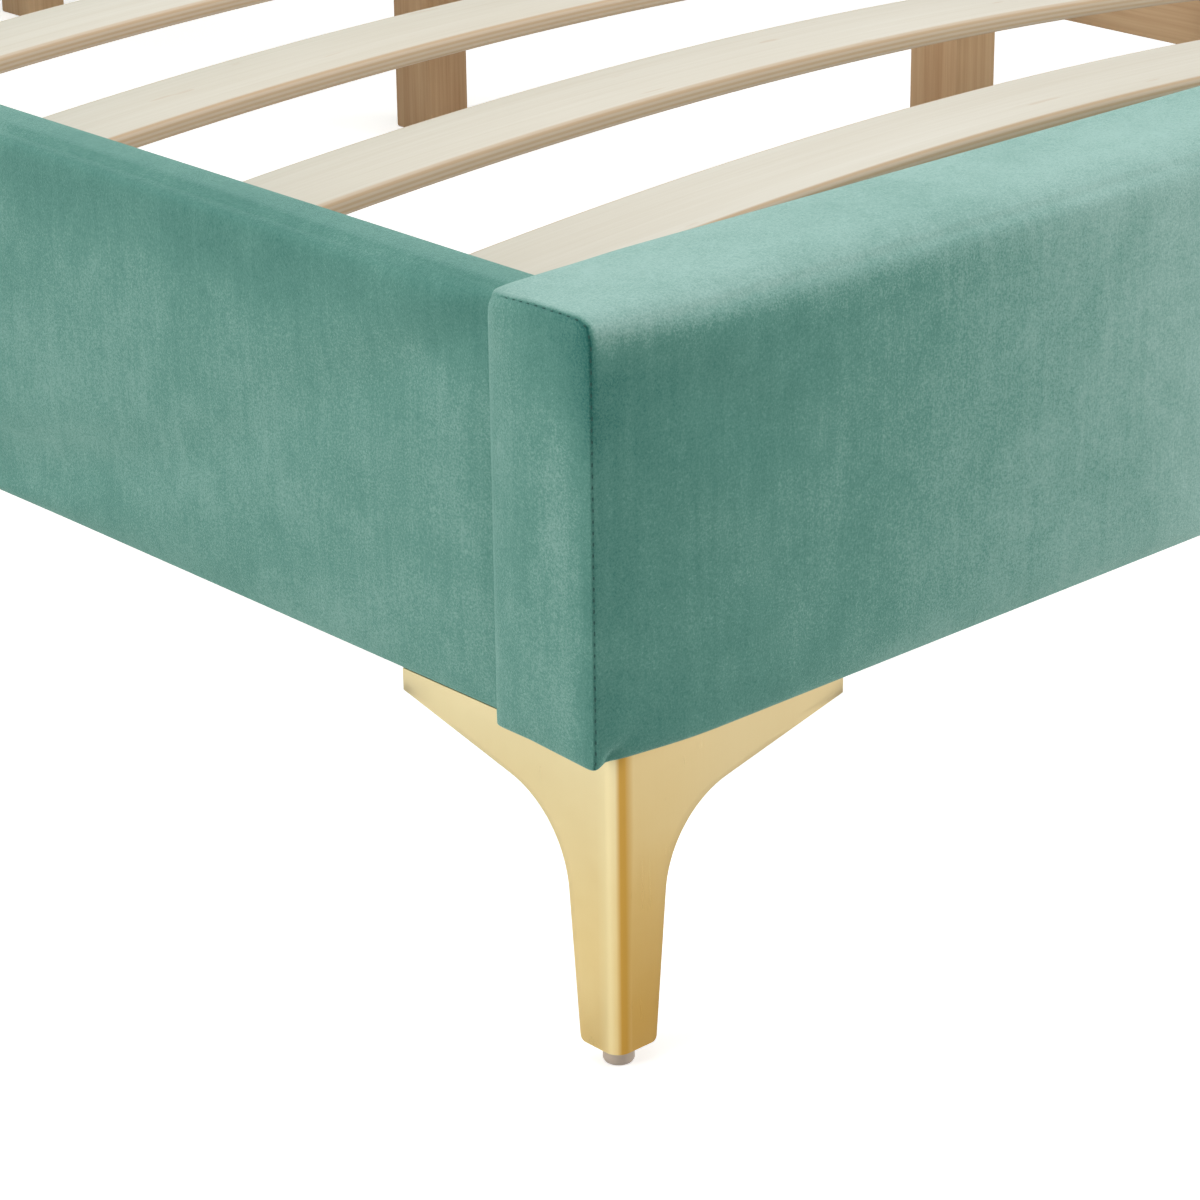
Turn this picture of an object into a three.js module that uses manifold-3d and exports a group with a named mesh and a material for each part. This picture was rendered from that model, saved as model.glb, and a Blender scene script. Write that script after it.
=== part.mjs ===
// An upholstered bed: a low padded footboard and side rails, a padded headboard, two rows of
// arched slats on a centre beam, folded sheet-metal corner legs and screw-in levelling glides.
// Units are millimetres. +Z is up, +Y runs from the footboard to the headboard, and +X crosses
// the bed. The origin is on the floor under the middle of the bed.

import * as THREE from "three";
import { mergeVertices } from "three/addons/utils/BufferGeometryUtils.js";
import Module from "manifold-3d";

const wasm = await Module();
wasm.setup();

// ---------------------------------------------------------------- driving dimensions

const CLEARANCE = 0.3; // between pieces that touch
const ARC_SEGMENTS = 6; // straight steps in each rounded corner

// The space for the mattress
const INNER_WIDTH = 1598;
const INNER_LENGTH = 2042;

// Heights above the floor, and the height of each upholstered panel
const LEG_HEIGHT = 129; // floor to the top of a corner leg
const FOOTBOARD_HEIGHT = 168;
const RAIL_HEIGHT = 165;
const HEADBOARD_HEIGHT = 1021;

// Thickness of each panel, fabric to fabric
const FOOTBOARD_DEPTH = 61.5;
const RAIL_DEPTH = 24;
const HEADBOARD_DEPTH = 82;
const END_OVERHANG = 12; // footboard and headboard past the side rails, at each end

// Padding
const LOW_PADDING = 9.5; // foam and velvet over the footboard's board
const RAIL_PADDING = 4; // foam and velvet over a rail's board
const HEAD_PADDING = 22; // foam and velvet on the headboard's front
const HEAD_WRAP = 12; // foam and velvet on the headboard's edges

// Headboard frame
const HEAD_PLY = 9;
const HEAD_POST_WIDTH = 70;
const HEAD_POST_DEPTH = 40;
const HEAD_TOP_RAIL = 60;
const HEAD_MID_RAIL = 60;
const HEAD_MID_HEIGHT = 600; // floor to the middle of the middle rail
const HEAD_BOTTOM_RAIL = 150;
const HEAD_BACK_CLOTH = 2;

// Slats
const SLAT_COUNT = 12; // in each row
const SLAT_WIDTH = 57;
const SLAT_THICKNESS = 9;
const SLAT_RISE = 24; // from its ends to its middle
const SLAT_STEPS = 10;
const SLAT_END_GAP = 2; // to the side rail
const SLAT_MID_GAP = 3; // between the two rows
const SLAT_FOOT_SPACE = 121; // footboard to the first slat
const SLAT_HEAD_SPACE = 189; // last slat to the headboard

// Slat supports
const RECESS_DEPTH = 76; // top of a side rail to the top of the ledgers and the beam
const LEDGER_WIDTH = 25;
const LEDGER_HEIGHT = 38;
const BEAM_WIDTH = 34;
const BEAM_HEIGHT = 40;
const CENTRE_LEG_COUNT = 3;
const CENTRE_LEG_DEPTH = 38;
const CENTRE_LEG_SPACING = 488;

// Corner legs
const LEG_SHEET = 2.5;
const LEG_BEND = 6; // outside radius of the fold
const LEG_FRONT_INSET = 6; // from the footboard's or headboard's outer face
const LEG_FOOT_WIDTH = 20; // each wing at the bottom
const LEG_WING = 118; // each wing at the top
const LEG_WAIST_WIDTH = 27.8; // where the straight edges of a wing would meet
const LEG_WAIST_DROP = 30.5; // from the top of the leg
const LEG_CURVE = 41; // radius between those edges
const LEG_END_DROP = 9; // upright end of a wing, below its top
const LEG_FOOT_ROUND = 2.5;
const LEG_FOOT_LIFT = 8; // floor to the bottom of the folded sheet
const LEG_FOOT_PLATE_LIFT = 1; // bottom of the folded sheet to the foot plate
const LEG_PLATE = 3;
const LEG_PLATE_SHORT_SIDE = 45; // beside the cut corner of the top plate
const LEG_SCREW_HOLE = 3.5; // radius
const LEG_SCREW_ASIDE = 12; // from one outer face
const LEG_SCREW_DROPS = [45, 13]; // from the end of the other wing

// Levelling glides
const GLIDE_RADIUS = 6;
const GLIDE_SIDE_GAP = 1.5; // to the folded sheet
const GLIDE_CHAMFER = 1;
const GLIDE_STEM_RADIUS = 3;
const GLIDE_HOLE_PLAY = 0.4; // around the stem
const GLIDE_STEM_LENGTH = 26;
const GLIDE_SIDES = 20;

// Corner brackets and beam hangers
const BRACKET_SHEET = 4;
const BRACKET_ARM = 50;
const BRACKET_HEIGHT = 95;
const BRACKET_HOLE = 4.5; // radius
const BRACKET_HOLE_DROP = 22; // from its top and bottom edges
const HANGER_SHEET = 2.5;
const HANGER_REACH = 40;
const HANGER_EAR = 22; // each side of the beam
const HANGER_SCREW_HOLE = 2.5; // radius

// ---------------------------------------------------------------- derived places

const RAIL_OUTER = INNER_WIDTH / 2 + RAIL_DEPTH;
const HALF_WIDTH = RAIL_OUTER + END_OVERHANG;
const LENGTH = FOOTBOARD_DEPTH + INNER_LENGTH + HEADBOARD_DEPTH;
const FOOT_FRONT = -LENGTH / 2;
const FOOT_BACK = FOOT_FRONT + FOOTBOARD_DEPTH;
const HEAD_FRONT = FOOT_BACK + INNER_LENGTH;
const HEAD_BACK = LENGTH / 2;
const PANEL_BOTTOM = LEG_HEIGHT + CLEARANCE;
const SUPPORT_TOP = PANEL_BOTTOM + RAIL_HEIGHT - RECESS_DEPTH;
const GLIDE_TOP = LEG_FOOT_LIFT + LEG_FOOT_PLATE_LIFT - CLEARANCE;
const GLIDE_OFFSET = LEG_SHEET + GLIDE_SIDE_GAP + GLIDE_RADIUS; // its axis from the leg's outer faces

// ---------------------------------------------------------------- materials

const velvet = () => new THREE.MeshStandardMaterial({ color: 0x6fa396, roughness: 0.9 });
const birch = () => new THREE.MeshStandardMaterial({ color: 0xded6c0, roughness: 0.6 });
const pine = () => new THREE.MeshStandardMaterial({ color: 0xbd9b72, roughness: 0.7 });
const gold = () => new THREE.MeshStandardMaterial({ color: 0xd9b368, roughness: 0.35, metalness: 1 });
const steel = () => new THREE.MeshStandardMaterial({ color: 0x3a3c3e, roughness: 0.5, metalness: 0.8 });
const glidePlastic = () => new THREE.MeshStandardMaterial({ color: 0xb5a698, roughness: 0.5 });
const dustCloth = () => new THREE.MeshStandardMaterial({ color: 0x26282a, roughness: 1 });

// ---------------------------------------------------------------- solid modelling helpers

function toSolid(geometry) {
  const bare = geometry.clone();
  bare.deleteAttribute("normal");
  bare.deleteAttribute("uv");
  const merged = mergeVertices(bare, 1e-4);
  const triVerts = merged.index
    ? new Uint32Array(merged.index.array)
    : Uint32Array.from({ length: merged.attributes.position.count }, (_, i) => i);
  const vertProperties = new Float32Array(merged.attributes.position.array);
  return new wasm.Manifold(new wasm.Mesh({ numProp: 3, vertProperties, triVerts }));
}

function toGeometry(solid) {
  const mesh = solid.getMesh();
  const geometry = new THREE.BufferGeometry();
  geometry.setAttribute("position", new THREE.BufferAttribute(mesh.vertProperties, 3));
  geometry.setIndex(new THREE.BufferAttribute(mesh.triVerts, 1));
  geometry.computeVertexNormals();
  return geometry;
}

// A box from its lowest corner to its highest corner.
function block(low, high) {
  const size = high.map((value, i) => value - low[i]);
  const geometry = new THREE.BoxGeometry(...size);
  geometry.translate(...low.map((value, i) => value + size[i] / 2));
  return geometry;
}

// A disc-ended cutter through a plate, along one axis.
function drill(radius, centre, axis, depth) {
  const geometry = new THREE.CylinderGeometry(radius, radius, depth, 16);
  if (axis === "x") geometry.rotateZ(Math.PI / 2);
  if (axis === "z") geometry.rotateX(Math.PI / 2);
  geometry.translate(...centre);
  return toSolid(geometry);
}

// A shape drawn in X and Z, made solid from Y = near to Y = far.
function extrudeAlongY(shape, near, far) {
  const geometry = new THREE.ExtrudeGeometry(shape, {
    depth: far - near,
    bevelEnabled: false,
    curveSegments: ARC_SEGMENTS,
  });
  geometry.rotateX(Math.PI / 2);
  geometry.translate(0, far, 0);
  return geometry;
}

// A shape drawn in Y and Z, made solid from X = near to X = far.
function extrudeAlongX(shape, near, far) {
  const geometry = new THREE.ExtrudeGeometry(shape, {
    depth: far - near,
    bevelEnabled: false,
    curveSegments: ARC_SEGMENTS,
  });
  geometry.rotateX(Math.PI / 2);
  geometry.rotateZ(Math.PI / 2);
  geometry.translate(near, 0, 0);
  return geometry;
}

function polygon(points) {
  return new THREE.Shape(points.map(([x, y]) => new THREE.Vector2(x, y)));
}

// Rounds a corner of an outline: a straight line to the arc, then the arc itself.
function roundCorner(shape, before, corner, after, radius) {
  const at = new THREE.Vector2(...corner);
  const back = new THREE.Vector2(...before).sub(at).normalize();
  const ahead = new THREE.Vector2(...after).sub(at).normalize();
  const half = Math.acos(back.dot(ahead)) / 2;
  const reach = radius / Math.tan(half);
  const centre = back.clone().add(ahead).normalize().multiplyScalar(radius / Math.sin(half)).add(at);
  const start = back.multiplyScalar(reach).add(at);
  const end = ahead.multiplyScalar(reach).add(at);
  const from = start.clone().sub(centre);
  const to = end.clone().sub(centre);
  shape.lineTo(start.x, start.y);
  shape.absarc(centre.x, centre.y, radius, from.angle(), to.angle(), from.cross(to) < 0);
}

const bed = new THREE.Group();

function addMesh(name, geometry, material, parent = bed) {
  const mesh = new THREE.Mesh(geometry, material);
  mesh.name = name;
  parent.add(mesh);
  return mesh;
}

// ---------------------------------------------------------------- footboard and side rails

// A padded cover over a board: walls on every side but the bottom, where it is stapled.
function openCover(low, high, padding) {
  const outer = toSolid(block(low, high));
  const hollowLow = [low[0] + padding, low[1] + padding, low[2] - 1];
  const hollowHigh = [high[0] - padding, high[1] - padding, high[2] - padding];
  return toGeometry(outer.subtract(toSolid(block(hollowLow, hollowHigh))));
}

function makeFootboard() {
  const low = [-HALF_WIDTH, FOOT_FRONT, PANEL_BOTTOM];
  const high = [HALF_WIDTH, FOOT_BACK, PANEL_BOTTOM + FOOTBOARD_HEIGHT];
  addMesh("footboard_upholstery", openCover(low, high, LOW_PADDING), velvet());
  const inset = LOW_PADDING + CLEARANCE;
  const boardLow = [low[0] + inset, low[1] + inset, low[2]];
  const boardHigh = [high[0] - inset, high[1] - inset, high[2] - inset];
  addMesh("footboard_board", block(boardLow, boardHigh), pine());
}

// The section of a rail's padding: an upside-down U over the board.
function railPaddingShape() {
  const top = PANEL_BOTTOM + RAIL_HEIGHT;
  const outer = RAIL_DEPTH;
  return polygon([
    [0, PANEL_BOTTOM],
    [RAIL_PADDING, PANEL_BOTTOM],
    [RAIL_PADDING, top - RAIL_PADDING],
    [outer - RAIL_PADDING, top - RAIL_PADDING],
    [outer - RAIL_PADDING, PANEL_BOTTOM],
    [outer, PANEL_BOTTOM],
    [outer, top],
    [0, top],
  ]);
}

// The left rail as drawn, from its outer face inwards; the right one is its mirror image.
function makeSideRail(side, mirror) {
  const rail = new THREE.Group();
  rail.scale.x = mirror;
  bed.add(rail);
  const near = FOOT_BACK + CLEARANCE;
  const far = HEAD_FRONT - CLEARANCE;
  const padding = extrudeAlongY(railPaddingShape(), near, far);
  padding.translate(-RAIL_OUTER, 0, 0);
  addMesh(`side_rail_upholstery_${side}`, padding, velvet(), rail);

  const inset = RAIL_PADDING + CLEARANCE;
  const boardLow = [-RAIL_OUTER + inset, near, PANEL_BOTTOM];
  const boardHigh = [-INNER_WIDTH / 2 - inset, far, PANEL_BOTTOM + RAIL_HEIGHT - inset];
  addMesh(`side_rail_board_${side}`, block(boardLow, boardHigh), pine(), rail);

  const ledgerEnd = BRACKET_ARM + 2 * BRACKET_SHEET;
  const ledgerLow = [-INNER_WIDTH / 2 + CLEARANCE, near + ledgerEnd, SUPPORT_TOP - LEDGER_HEIGHT];
  const ledgerHigh = [ledgerLow[0] + LEDGER_WIDTH, far - ledgerEnd, SUPPORT_TOP];
  addMesh(`slat_ledger_${side}`, block(ledgerLow, ledgerHigh), pine(), rail);
}

// ---------------------------------------------------------------- headboard

function makeHeadboardPadding(top) {
  const outer = toSolid(block([-HALF_WIDTH, HEAD_FRONT, PANEL_BOTTOM], [HALF_WIDTH, HEAD_BACK, top]));
  const hollowLow = [-HALF_WIDTH + HEAD_WRAP, HEAD_FRONT + HEAD_PADDING, PANEL_BOTTOM - 1];
  const hollowHigh = [HALF_WIDTH - HEAD_WRAP, HEAD_BACK + 1, top - HEAD_WRAP];
  const padding = outer.subtract(toSolid(block(hollowLow, hollowHigh)));
  addMesh("headboard_upholstery", toGeometry(padding), velvet());
}

function makeHeadboard() {
  const top = PANEL_BOTTOM + HEADBOARD_HEIGHT;
  makeHeadboardPadding(top);

  const side = HALF_WIDTH - HEAD_WRAP - CLEARANCE;
  const frameTop = top - HEAD_WRAP - CLEARANCE;
  const plyFront = HEAD_FRONT + HEAD_PADDING + CLEARANCE;
  const plyBack = plyFront + HEAD_PLY;
  addMesh("headboard_panel", block([-side, plyFront, PANEL_BOTTOM], [side, plyBack, frameTop]), birch());

  const near = plyBack + CLEARANCE;
  const far = near + HEAD_POST_DEPTH;
  const postInner = side - HEAD_POST_WIDTH;
  addMesh("headboard_post_left", block([-side, near, PANEL_BOTTOM], [-postInner, far, frameTop]), pine());
  addMesh("headboard_post_right", block([postInner, near, PANEL_BOTTOM], [side, far, frameTop]), pine());

  const between = postInner - CLEARANCE;
  const rails = {
    headboard_bottom_rail: [PANEL_BOTTOM, PANEL_BOTTOM + HEAD_BOTTOM_RAIL],
    headboard_middle_rail: [HEAD_MID_HEIGHT - HEAD_MID_RAIL / 2, HEAD_MID_HEIGHT + HEAD_MID_RAIL / 2],
    headboard_top_rail: [frameTop - HEAD_TOP_RAIL, frameTop],
  };
  for (const [name, [bottom, up]] of Object.entries(rails)) {
    addMesh(name, block([-between, near, bottom], [between, far, up]), pine());
  }

  const clothFront = far + CLEARANCE;
  const clothLow = [-side, clothFront, PANEL_BOTTOM];
  const clothHigh = [side, clothFront + HEAD_BACK_CLOTH, frameTop];
  addMesh("headboard_back_cloth", block(clothLow, clothHigh), dustCloth());
}

// ---------------------------------------------------------------- slats and their supports

// One arched slat seen from the footboard, its ends at X = 0 and X = length, resting on Z = 0.
function slatShape(length) {
  const radius = (length * length) / (8 * SLAT_RISE) + SLAT_RISE / 2;
  const outer = radius + SLAT_THICKNESS;
  const half = Math.asin(length / 2 / outer);
  const centreHeight = -radius * Math.cos(half);
  const points = [];
  for (let i = 0; i <= SLAT_STEPS; i++) {
    const angle = half - (2 * half * i) / SLAT_STEPS;
    points.push([length / 2 + outer * Math.sin(angle), centreHeight + outer * Math.cos(angle)]);
  }
  for (let i = SLAT_STEPS; i >= 0; i--) {
    const angle = half - (2 * half * i) / SLAT_STEPS;
    points.push([length / 2 + radius * Math.sin(angle), centreHeight + radius * Math.cos(angle)]);
  }
  return polygon(points);
}

function makeSlats() {
  const length = INNER_WIDTH / 2 - SLAT_END_GAP - SLAT_MID_GAP / 2;
  const shape = slatShape(length);
  const firstEdge = FOOT_BACK + SLAT_FOOT_SPACE;
  const lastEdge = HEAD_FRONT - SLAT_HEAD_SPACE - SLAT_WIDTH;
  const pitch = (lastEdge - firstEdge) / (SLAT_COUNT - 1);
  const starts = { left: -INNER_WIDTH / 2 + SLAT_END_GAP, right: SLAT_MID_GAP / 2 };
  for (const [row, start] of Object.entries(starts)) {
    for (let i = 0; i < SLAT_COUNT; i++) {
      const edge = firstEdge + i * pitch;
      const geometry = extrudeAlongY(shape, edge, edge + SLAT_WIDTH);
      const slat = addMesh(`slat_${row}_${String(i + 1).padStart(2, "0")}`, geometry, birch());
      slat.position.set(start, 0, SUPPORT_TOP + CLEARANCE);
    }
  }
}

function makeBeam() {
  const half = BEAM_WIDTH / 2;
  const bottom = SUPPORT_TOP - BEAM_HEIGHT;
  const end = HANGER_SHEET + 2 * CLEARANCE;
  const low = [-half, FOOT_BACK + end, bottom];
  const high = [half, HEAD_FRONT - end, SUPPORT_TOP];
  addMesh("centre_beam", block(low, high), pine());
  const middle = (FOOT_BACK + HEAD_FRONT) / 2;
  for (let i = 0; i < CENTRE_LEG_COUNT; i++) {
    const y = middle + (i - (CENTRE_LEG_COUNT - 1) / 2) * CENTRE_LEG_SPACING;
    const foot = [-half, y - CENTRE_LEG_DEPTH / 2, 0];
    const top = [half, y + CENTRE_LEG_DEPTH / 2, bottom - CLEARANCE];
    addMesh(`centre_leg_${i + 1}`, block(foot, top), pine());
  }
}

// A steel stirrup that carries one end of the beam: a screwed plate with a U-shaped shelf.
function hangerSolid() {
  const inner = BEAM_WIDTH / 2 + CLEARANCE;
  const outer = inner + HANGER_SHEET;
  const shelf = SUPPORT_TOP - BEAM_HEIGHT - CLEARANCE;
  const bottom = shelf - HANGER_SHEET;
  const top = SUPPORT_TOP - CLEARANCE;
  const stirrup = polygon([
    [-outer, bottom],
    [outer, bottom],
    [outer, top],
    [inner, top],
    [inner, shelf],
    [-inner, shelf],
    [-inner, top],
    [-outer, top],
  ]);
  const plate = toSolid(block([-outer - HANGER_EAR, 0, bottom], [outer + HANGER_EAR, HANGER_SHEET, top]));
  let solid = plate.add(toSolid(extrudeAlongY(stirrup, HANGER_SHEET / 2, HANGER_REACH)));
  for (const x of [-outer - HANGER_EAR / 2, outer + HANGER_EAR / 2]) {
    for (const z of [bottom + HANGER_EAR / 2, top - HANGER_EAR / 2]) {
      solid = solid.subtract(drill(HANGER_SCREW_HOLE, [x, 0, z], "y", 4 * HANGER_SHEET));
    }
  }
  return solid;
}

function makeHangers() {
  const geometry = toGeometry(hangerSolid());
  const foot = addMesh("beam_hanger_foot", geometry, steel());
  foot.position.y = FOOT_BACK + CLEARANCE;
  const head = addMesh("beam_hanger_head", geometry.clone(), steel());
  head.position.y = HEAD_FRONT - CLEARANCE;
  head.rotation.z = Math.PI;
}

// ---------------------------------------------------------------- corner hardware

// An angle bracket in the inner corner, drawn for the corner at the low end of X and Y.
function bracketSolid() {
  const section = polygon([
    [0, 0],
    [BRACKET_ARM, 0],
    [BRACKET_ARM, BRACKET_SHEET],
    [BRACKET_SHEET, BRACKET_SHEET],
    [BRACKET_SHEET, BRACKET_ARM],
    [0, BRACKET_ARM],
  ]);
  const geometry = new THREE.ExtrudeGeometry(section, { depth: BRACKET_HEIGHT, bevelEnabled: false });
  let solid = toSolid(geometry);
  const middle = (BRACKET_ARM + BRACKET_SHEET) / 2;
  for (const z of [BRACKET_HOLE_DROP, BRACKET_HEIGHT - BRACKET_HOLE_DROP]) {
    solid = solid.subtract(drill(BRACKET_HOLE, [middle, 0, z], "y", 4 * BRACKET_SHEET));
    solid = solid.subtract(drill(BRACKET_HOLE, [0, middle, z], "x", 4 * BRACKET_SHEET));
  }
  return solid;
}

// One wing of a folded leg, drawn as distance from the fold against height.
function wingShape() {
  const foot = [LEG_FOOT_WIDTH, LEG_FOOT_LIFT];
  const waist = [LEG_WAIST_WIDTH, LEG_HEIGHT - LEG_WAIST_DROP];
  const wingEnd = [LEG_WING, LEG_HEIGHT - LEG_END_DROP];
  const shape = new THREE.Shape();
  shape.moveTo(-1, LEG_FOOT_LIFT);
  roundCorner(shape, [-1, LEG_FOOT_LIFT], foot, waist, LEG_FOOT_ROUND);
  roundCorner(shape, foot, waist, wingEnd, LEG_CURVE);
  shape.lineTo(...wingEnd);
  shape.lineTo(LEG_WING, LEG_HEIGHT);
  shape.lineTo(-1, LEG_HEIGHT);
  return shape;
}

// The folded sheet seen from above, before its wings are cut to shape.
function foldShape() {
  const inner = LEG_BEND - LEG_SHEET;
  const shape = new THREE.Shape();
  shape.moveTo(LEG_WING, 0);
  shape.lineTo(LEG_WING, LEG_SHEET);
  shape.lineTo(LEG_BEND, LEG_SHEET);
  shape.absarc(LEG_BEND, LEG_BEND, inner, -Math.PI / 2, Math.PI, true);
  shape.lineTo(LEG_SHEET, LEG_WING);
  shape.lineTo(0, LEG_WING);
  shape.lineTo(0, LEG_BEND);
  shape.absarc(LEG_BEND, LEG_BEND, LEG_BEND, Math.PI, 1.5 * Math.PI, false);
  return shape;
}

// A level plate of a leg, its corner taken off to stay inside the rounded fold.
function legPlate(outline, bottom) {
  const reach = LEG_BEND / 2;
  const wedge = polygon([
    [-1, -1],
    [reach, -1],
    [-1, reach],
  ]);
  const options = { depth: LEG_PLATE, bevelEnabled: false };
  const plate = toSolid(new THREE.ExtrudeGeometry(polygon(outline), options));
  const corner = toSolid(new THREE.ExtrudeGeometry(wedge, options));
  return plate.subtract(corner).translate(0, 0, bottom);
}

// The wings: a folded sheet, with the same outline cut from both sides.
function wingsSolid() {
  const depth = LEG_HEIGHT - LEG_FOOT_LIFT;
  const options = { depth, bevelEnabled: false, curveSegments: ARC_SEGMENTS };
  const fold = new THREE.ExtrudeGeometry(foldShape(), options);
  fold.translate(0, 0, LEG_FOOT_LIFT);
  const past = LEG_WING + 1;
  const cutAcross = toSolid(extrudeAlongY(wingShape(), -1, past));
  const cutAlong = toSolid(extrudeAlongX(wingShape(), -1, past));
  return toSolid(fold).intersect(cutAcross).intersect(cutAlong);
}

// A corner leg with its fold at X = 0, Y = 0, and its wings along +X and +Y.
function legSolid() {
  const root = LEG_SHEET / 2;
  const topOutline = [
    [root, root],
    [LEG_WING, root],
    [LEG_WING, LEG_PLATE_SHORT_SIDE],
    [LEG_PLATE_SHORT_SIDE, LEG_WING],
    [root, LEG_WING],
  ];
  const footEdge = LEG_FOOT_WIDTH - 1;
  const footOutline = [
    [root, root],
    [footEdge, root],
    [footEdge, footEdge],
    [root, footEdge],
  ];
  let solid = wingsSolid();
  solid = solid.add(legPlate(topOutline, LEG_HEIGHT - LEG_PLATE));
  solid = solid.add(legPlate(footOutline, LEG_FOOT_LIFT + LEG_FOOT_PLATE_LIFT));
  const stemHole = GLIDE_STEM_RADIUS + GLIDE_HOLE_PLAY;
  solid = solid.subtract(drill(stemHole, [GLIDE_OFFSET, GLIDE_OFFSET, LEG_FOOT_LIFT], "z", 4 * LEG_PLATE));
  for (const drop of LEG_SCREW_DROPS) {
    const along = LEG_WING - drop;
    for (const [x, y] of [[along, LEG_SCREW_ASIDE], [LEG_SCREW_ASIDE, along]]) {
      solid = solid.subtract(drill(LEG_SCREW_HOLE, [x, y, LEG_HEIGHT], "z", 4 * LEG_PLATE));
    }
  }
  return solid;
}

// A screw-in glide: a plastic pad under a threaded stem, turned about its own axis.
function glideGeometry() {
  const profile = [
    [0, 0],
    [GLIDE_RADIUS - GLIDE_CHAMFER, 0],
    [GLIDE_RADIUS, GLIDE_CHAMFER],
    [GLIDE_RADIUS, GLIDE_TOP],
    [GLIDE_STEM_RADIUS, GLIDE_TOP],
    [GLIDE_STEM_RADIUS, GLIDE_TOP + GLIDE_STEM_LENGTH],
    [0, GLIDE_TOP + GLIDE_STEM_LENGTH],
  ];
  const geometry = new THREE.LatheGeometry(profile.map(([r, z]) => new THREE.Vector2(r, z)), GLIDE_SIDES);
  geometry.rotateX(Math.PI / 2);
  return geometry;
}

function makeCorners() {
  const leg = toGeometry(legSolid());
  const glide = glideGeometry();
  const bracket = toGeometry(bracketSolid());
  const bracketBottom = SUPPORT_TOP - BRACKET_HEIGHT + LEDGER_HEIGHT / 2;
  for (const [end, endSign] of [["foot", 1], ["head", -1]]) {
    for (const [side, sideSign] of [["left", 1], ["right", -1]]) {
      const corner = new THREE.Group();
      corner.position.set(-sideSign * RAIL_OUTER, -endSign * (LENGTH / 2 - LEG_FRONT_INSET), 0);
      corner.scale.set(sideSign, endSign, 1);
      bed.add(corner);
      addMesh(`corner_leg_${end}_${side}`, leg.clone(), gold(), corner);
      const pad = addMesh(`levelling_glide_${end}_${side}`, glide.clone(), glidePlastic(), corner);
      pad.position.set(GLIDE_OFFSET, GLIDE_OFFSET, 0);

      const inner = new THREE.Group();
      const panel = end === "foot" ? FOOT_BACK : HEAD_FRONT;
      inner.position.set(
        -sideSign * (INNER_WIDTH / 2 - CLEARANCE),
        panel + endSign * CLEARANCE,
        bracketBottom,
      );
      inner.scale.set(sideSign, endSign, 1);
      bed.add(inner);
      addMesh(`corner_bracket_${end}_${side}`, bracket.clone(), steel(), inner);
    }
  }
}

makeFootboard();
makeSideRail("left", 1);
makeSideRail("right", -1);
makeHeadboard();
makeBeam();
makeHangers();
makeSlats();
makeCorners();

export default bed;
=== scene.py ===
"""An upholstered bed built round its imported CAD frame: velvet covers, birch slats, folded gold legs."""

import math
from functools import partial

import bmesh
import bpy
import numpy as np
from mathutils import Matrix, Vector


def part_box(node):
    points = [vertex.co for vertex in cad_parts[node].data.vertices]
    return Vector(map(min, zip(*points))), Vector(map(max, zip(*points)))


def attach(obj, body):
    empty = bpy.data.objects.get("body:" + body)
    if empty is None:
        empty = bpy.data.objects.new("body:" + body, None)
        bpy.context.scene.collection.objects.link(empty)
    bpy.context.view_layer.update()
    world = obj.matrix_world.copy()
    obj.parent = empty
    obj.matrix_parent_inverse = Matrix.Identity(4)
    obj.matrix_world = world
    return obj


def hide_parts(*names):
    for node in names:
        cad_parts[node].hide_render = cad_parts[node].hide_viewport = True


MM = 0.001
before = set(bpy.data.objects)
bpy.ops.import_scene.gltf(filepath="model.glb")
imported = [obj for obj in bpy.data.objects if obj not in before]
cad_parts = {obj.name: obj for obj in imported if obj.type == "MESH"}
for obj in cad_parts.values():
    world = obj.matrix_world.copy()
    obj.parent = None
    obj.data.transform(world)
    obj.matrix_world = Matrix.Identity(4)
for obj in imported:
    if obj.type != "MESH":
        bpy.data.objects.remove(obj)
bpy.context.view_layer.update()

# ------------------------------------------------------------------ sizes, in metres

PADDING_STEP = 8 * MM  # spacing of a cover's grid before it is subdivided
EDGE_STEPS = (0, 1.5 * MM, 3.5 * MM, 6 * MM, 10 * MM, 15 * MM)  # closer rows beside an edge
CHANNELS = 12  # sewn up the headboard
STITCH_PITCH = 4.2 * MM
STITCH_LENGTH = 1.5 * MM
STITCH_RADIUS = 0.36 * MM
STITCH_LIFT = 0.25 * MM
STITCH_SLANT = 0.06
STITCH_WANDER = 0.08 * MM
SLAT_THICKNESS = 9 * MM
SLAT_EDGE_RADIUS = 3.4 * MM
LEG_SHEET = 2.5 * MM
SIM_FRAMES = 20
CLOTH_PRESSURE = 4.0
CLOTH_SINK = 0.3 * MM  # the furthest that the cloth may take a cover's point in,
CLOTH_DRIFT = 0.6 * MM  # and along the surface
BOARD_GAP = 0.3 * MM  # between a board and the cover round it
XY, XZ, YZ = (0, 1), (0, 2), (1, 2)  # the axes that an edge is rounded across
CAMERA_TURN = (42.394, 22.253, 0.672)  # yaw, pitch and roll, in degrees
CAMERA_LENS = 113.02
CAMERA_FROM_FOOT = (-0.8397, -0.9123, 0.693)  # from the floor under the front left glide


# ------------------------------------------------------------------ camera

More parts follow.
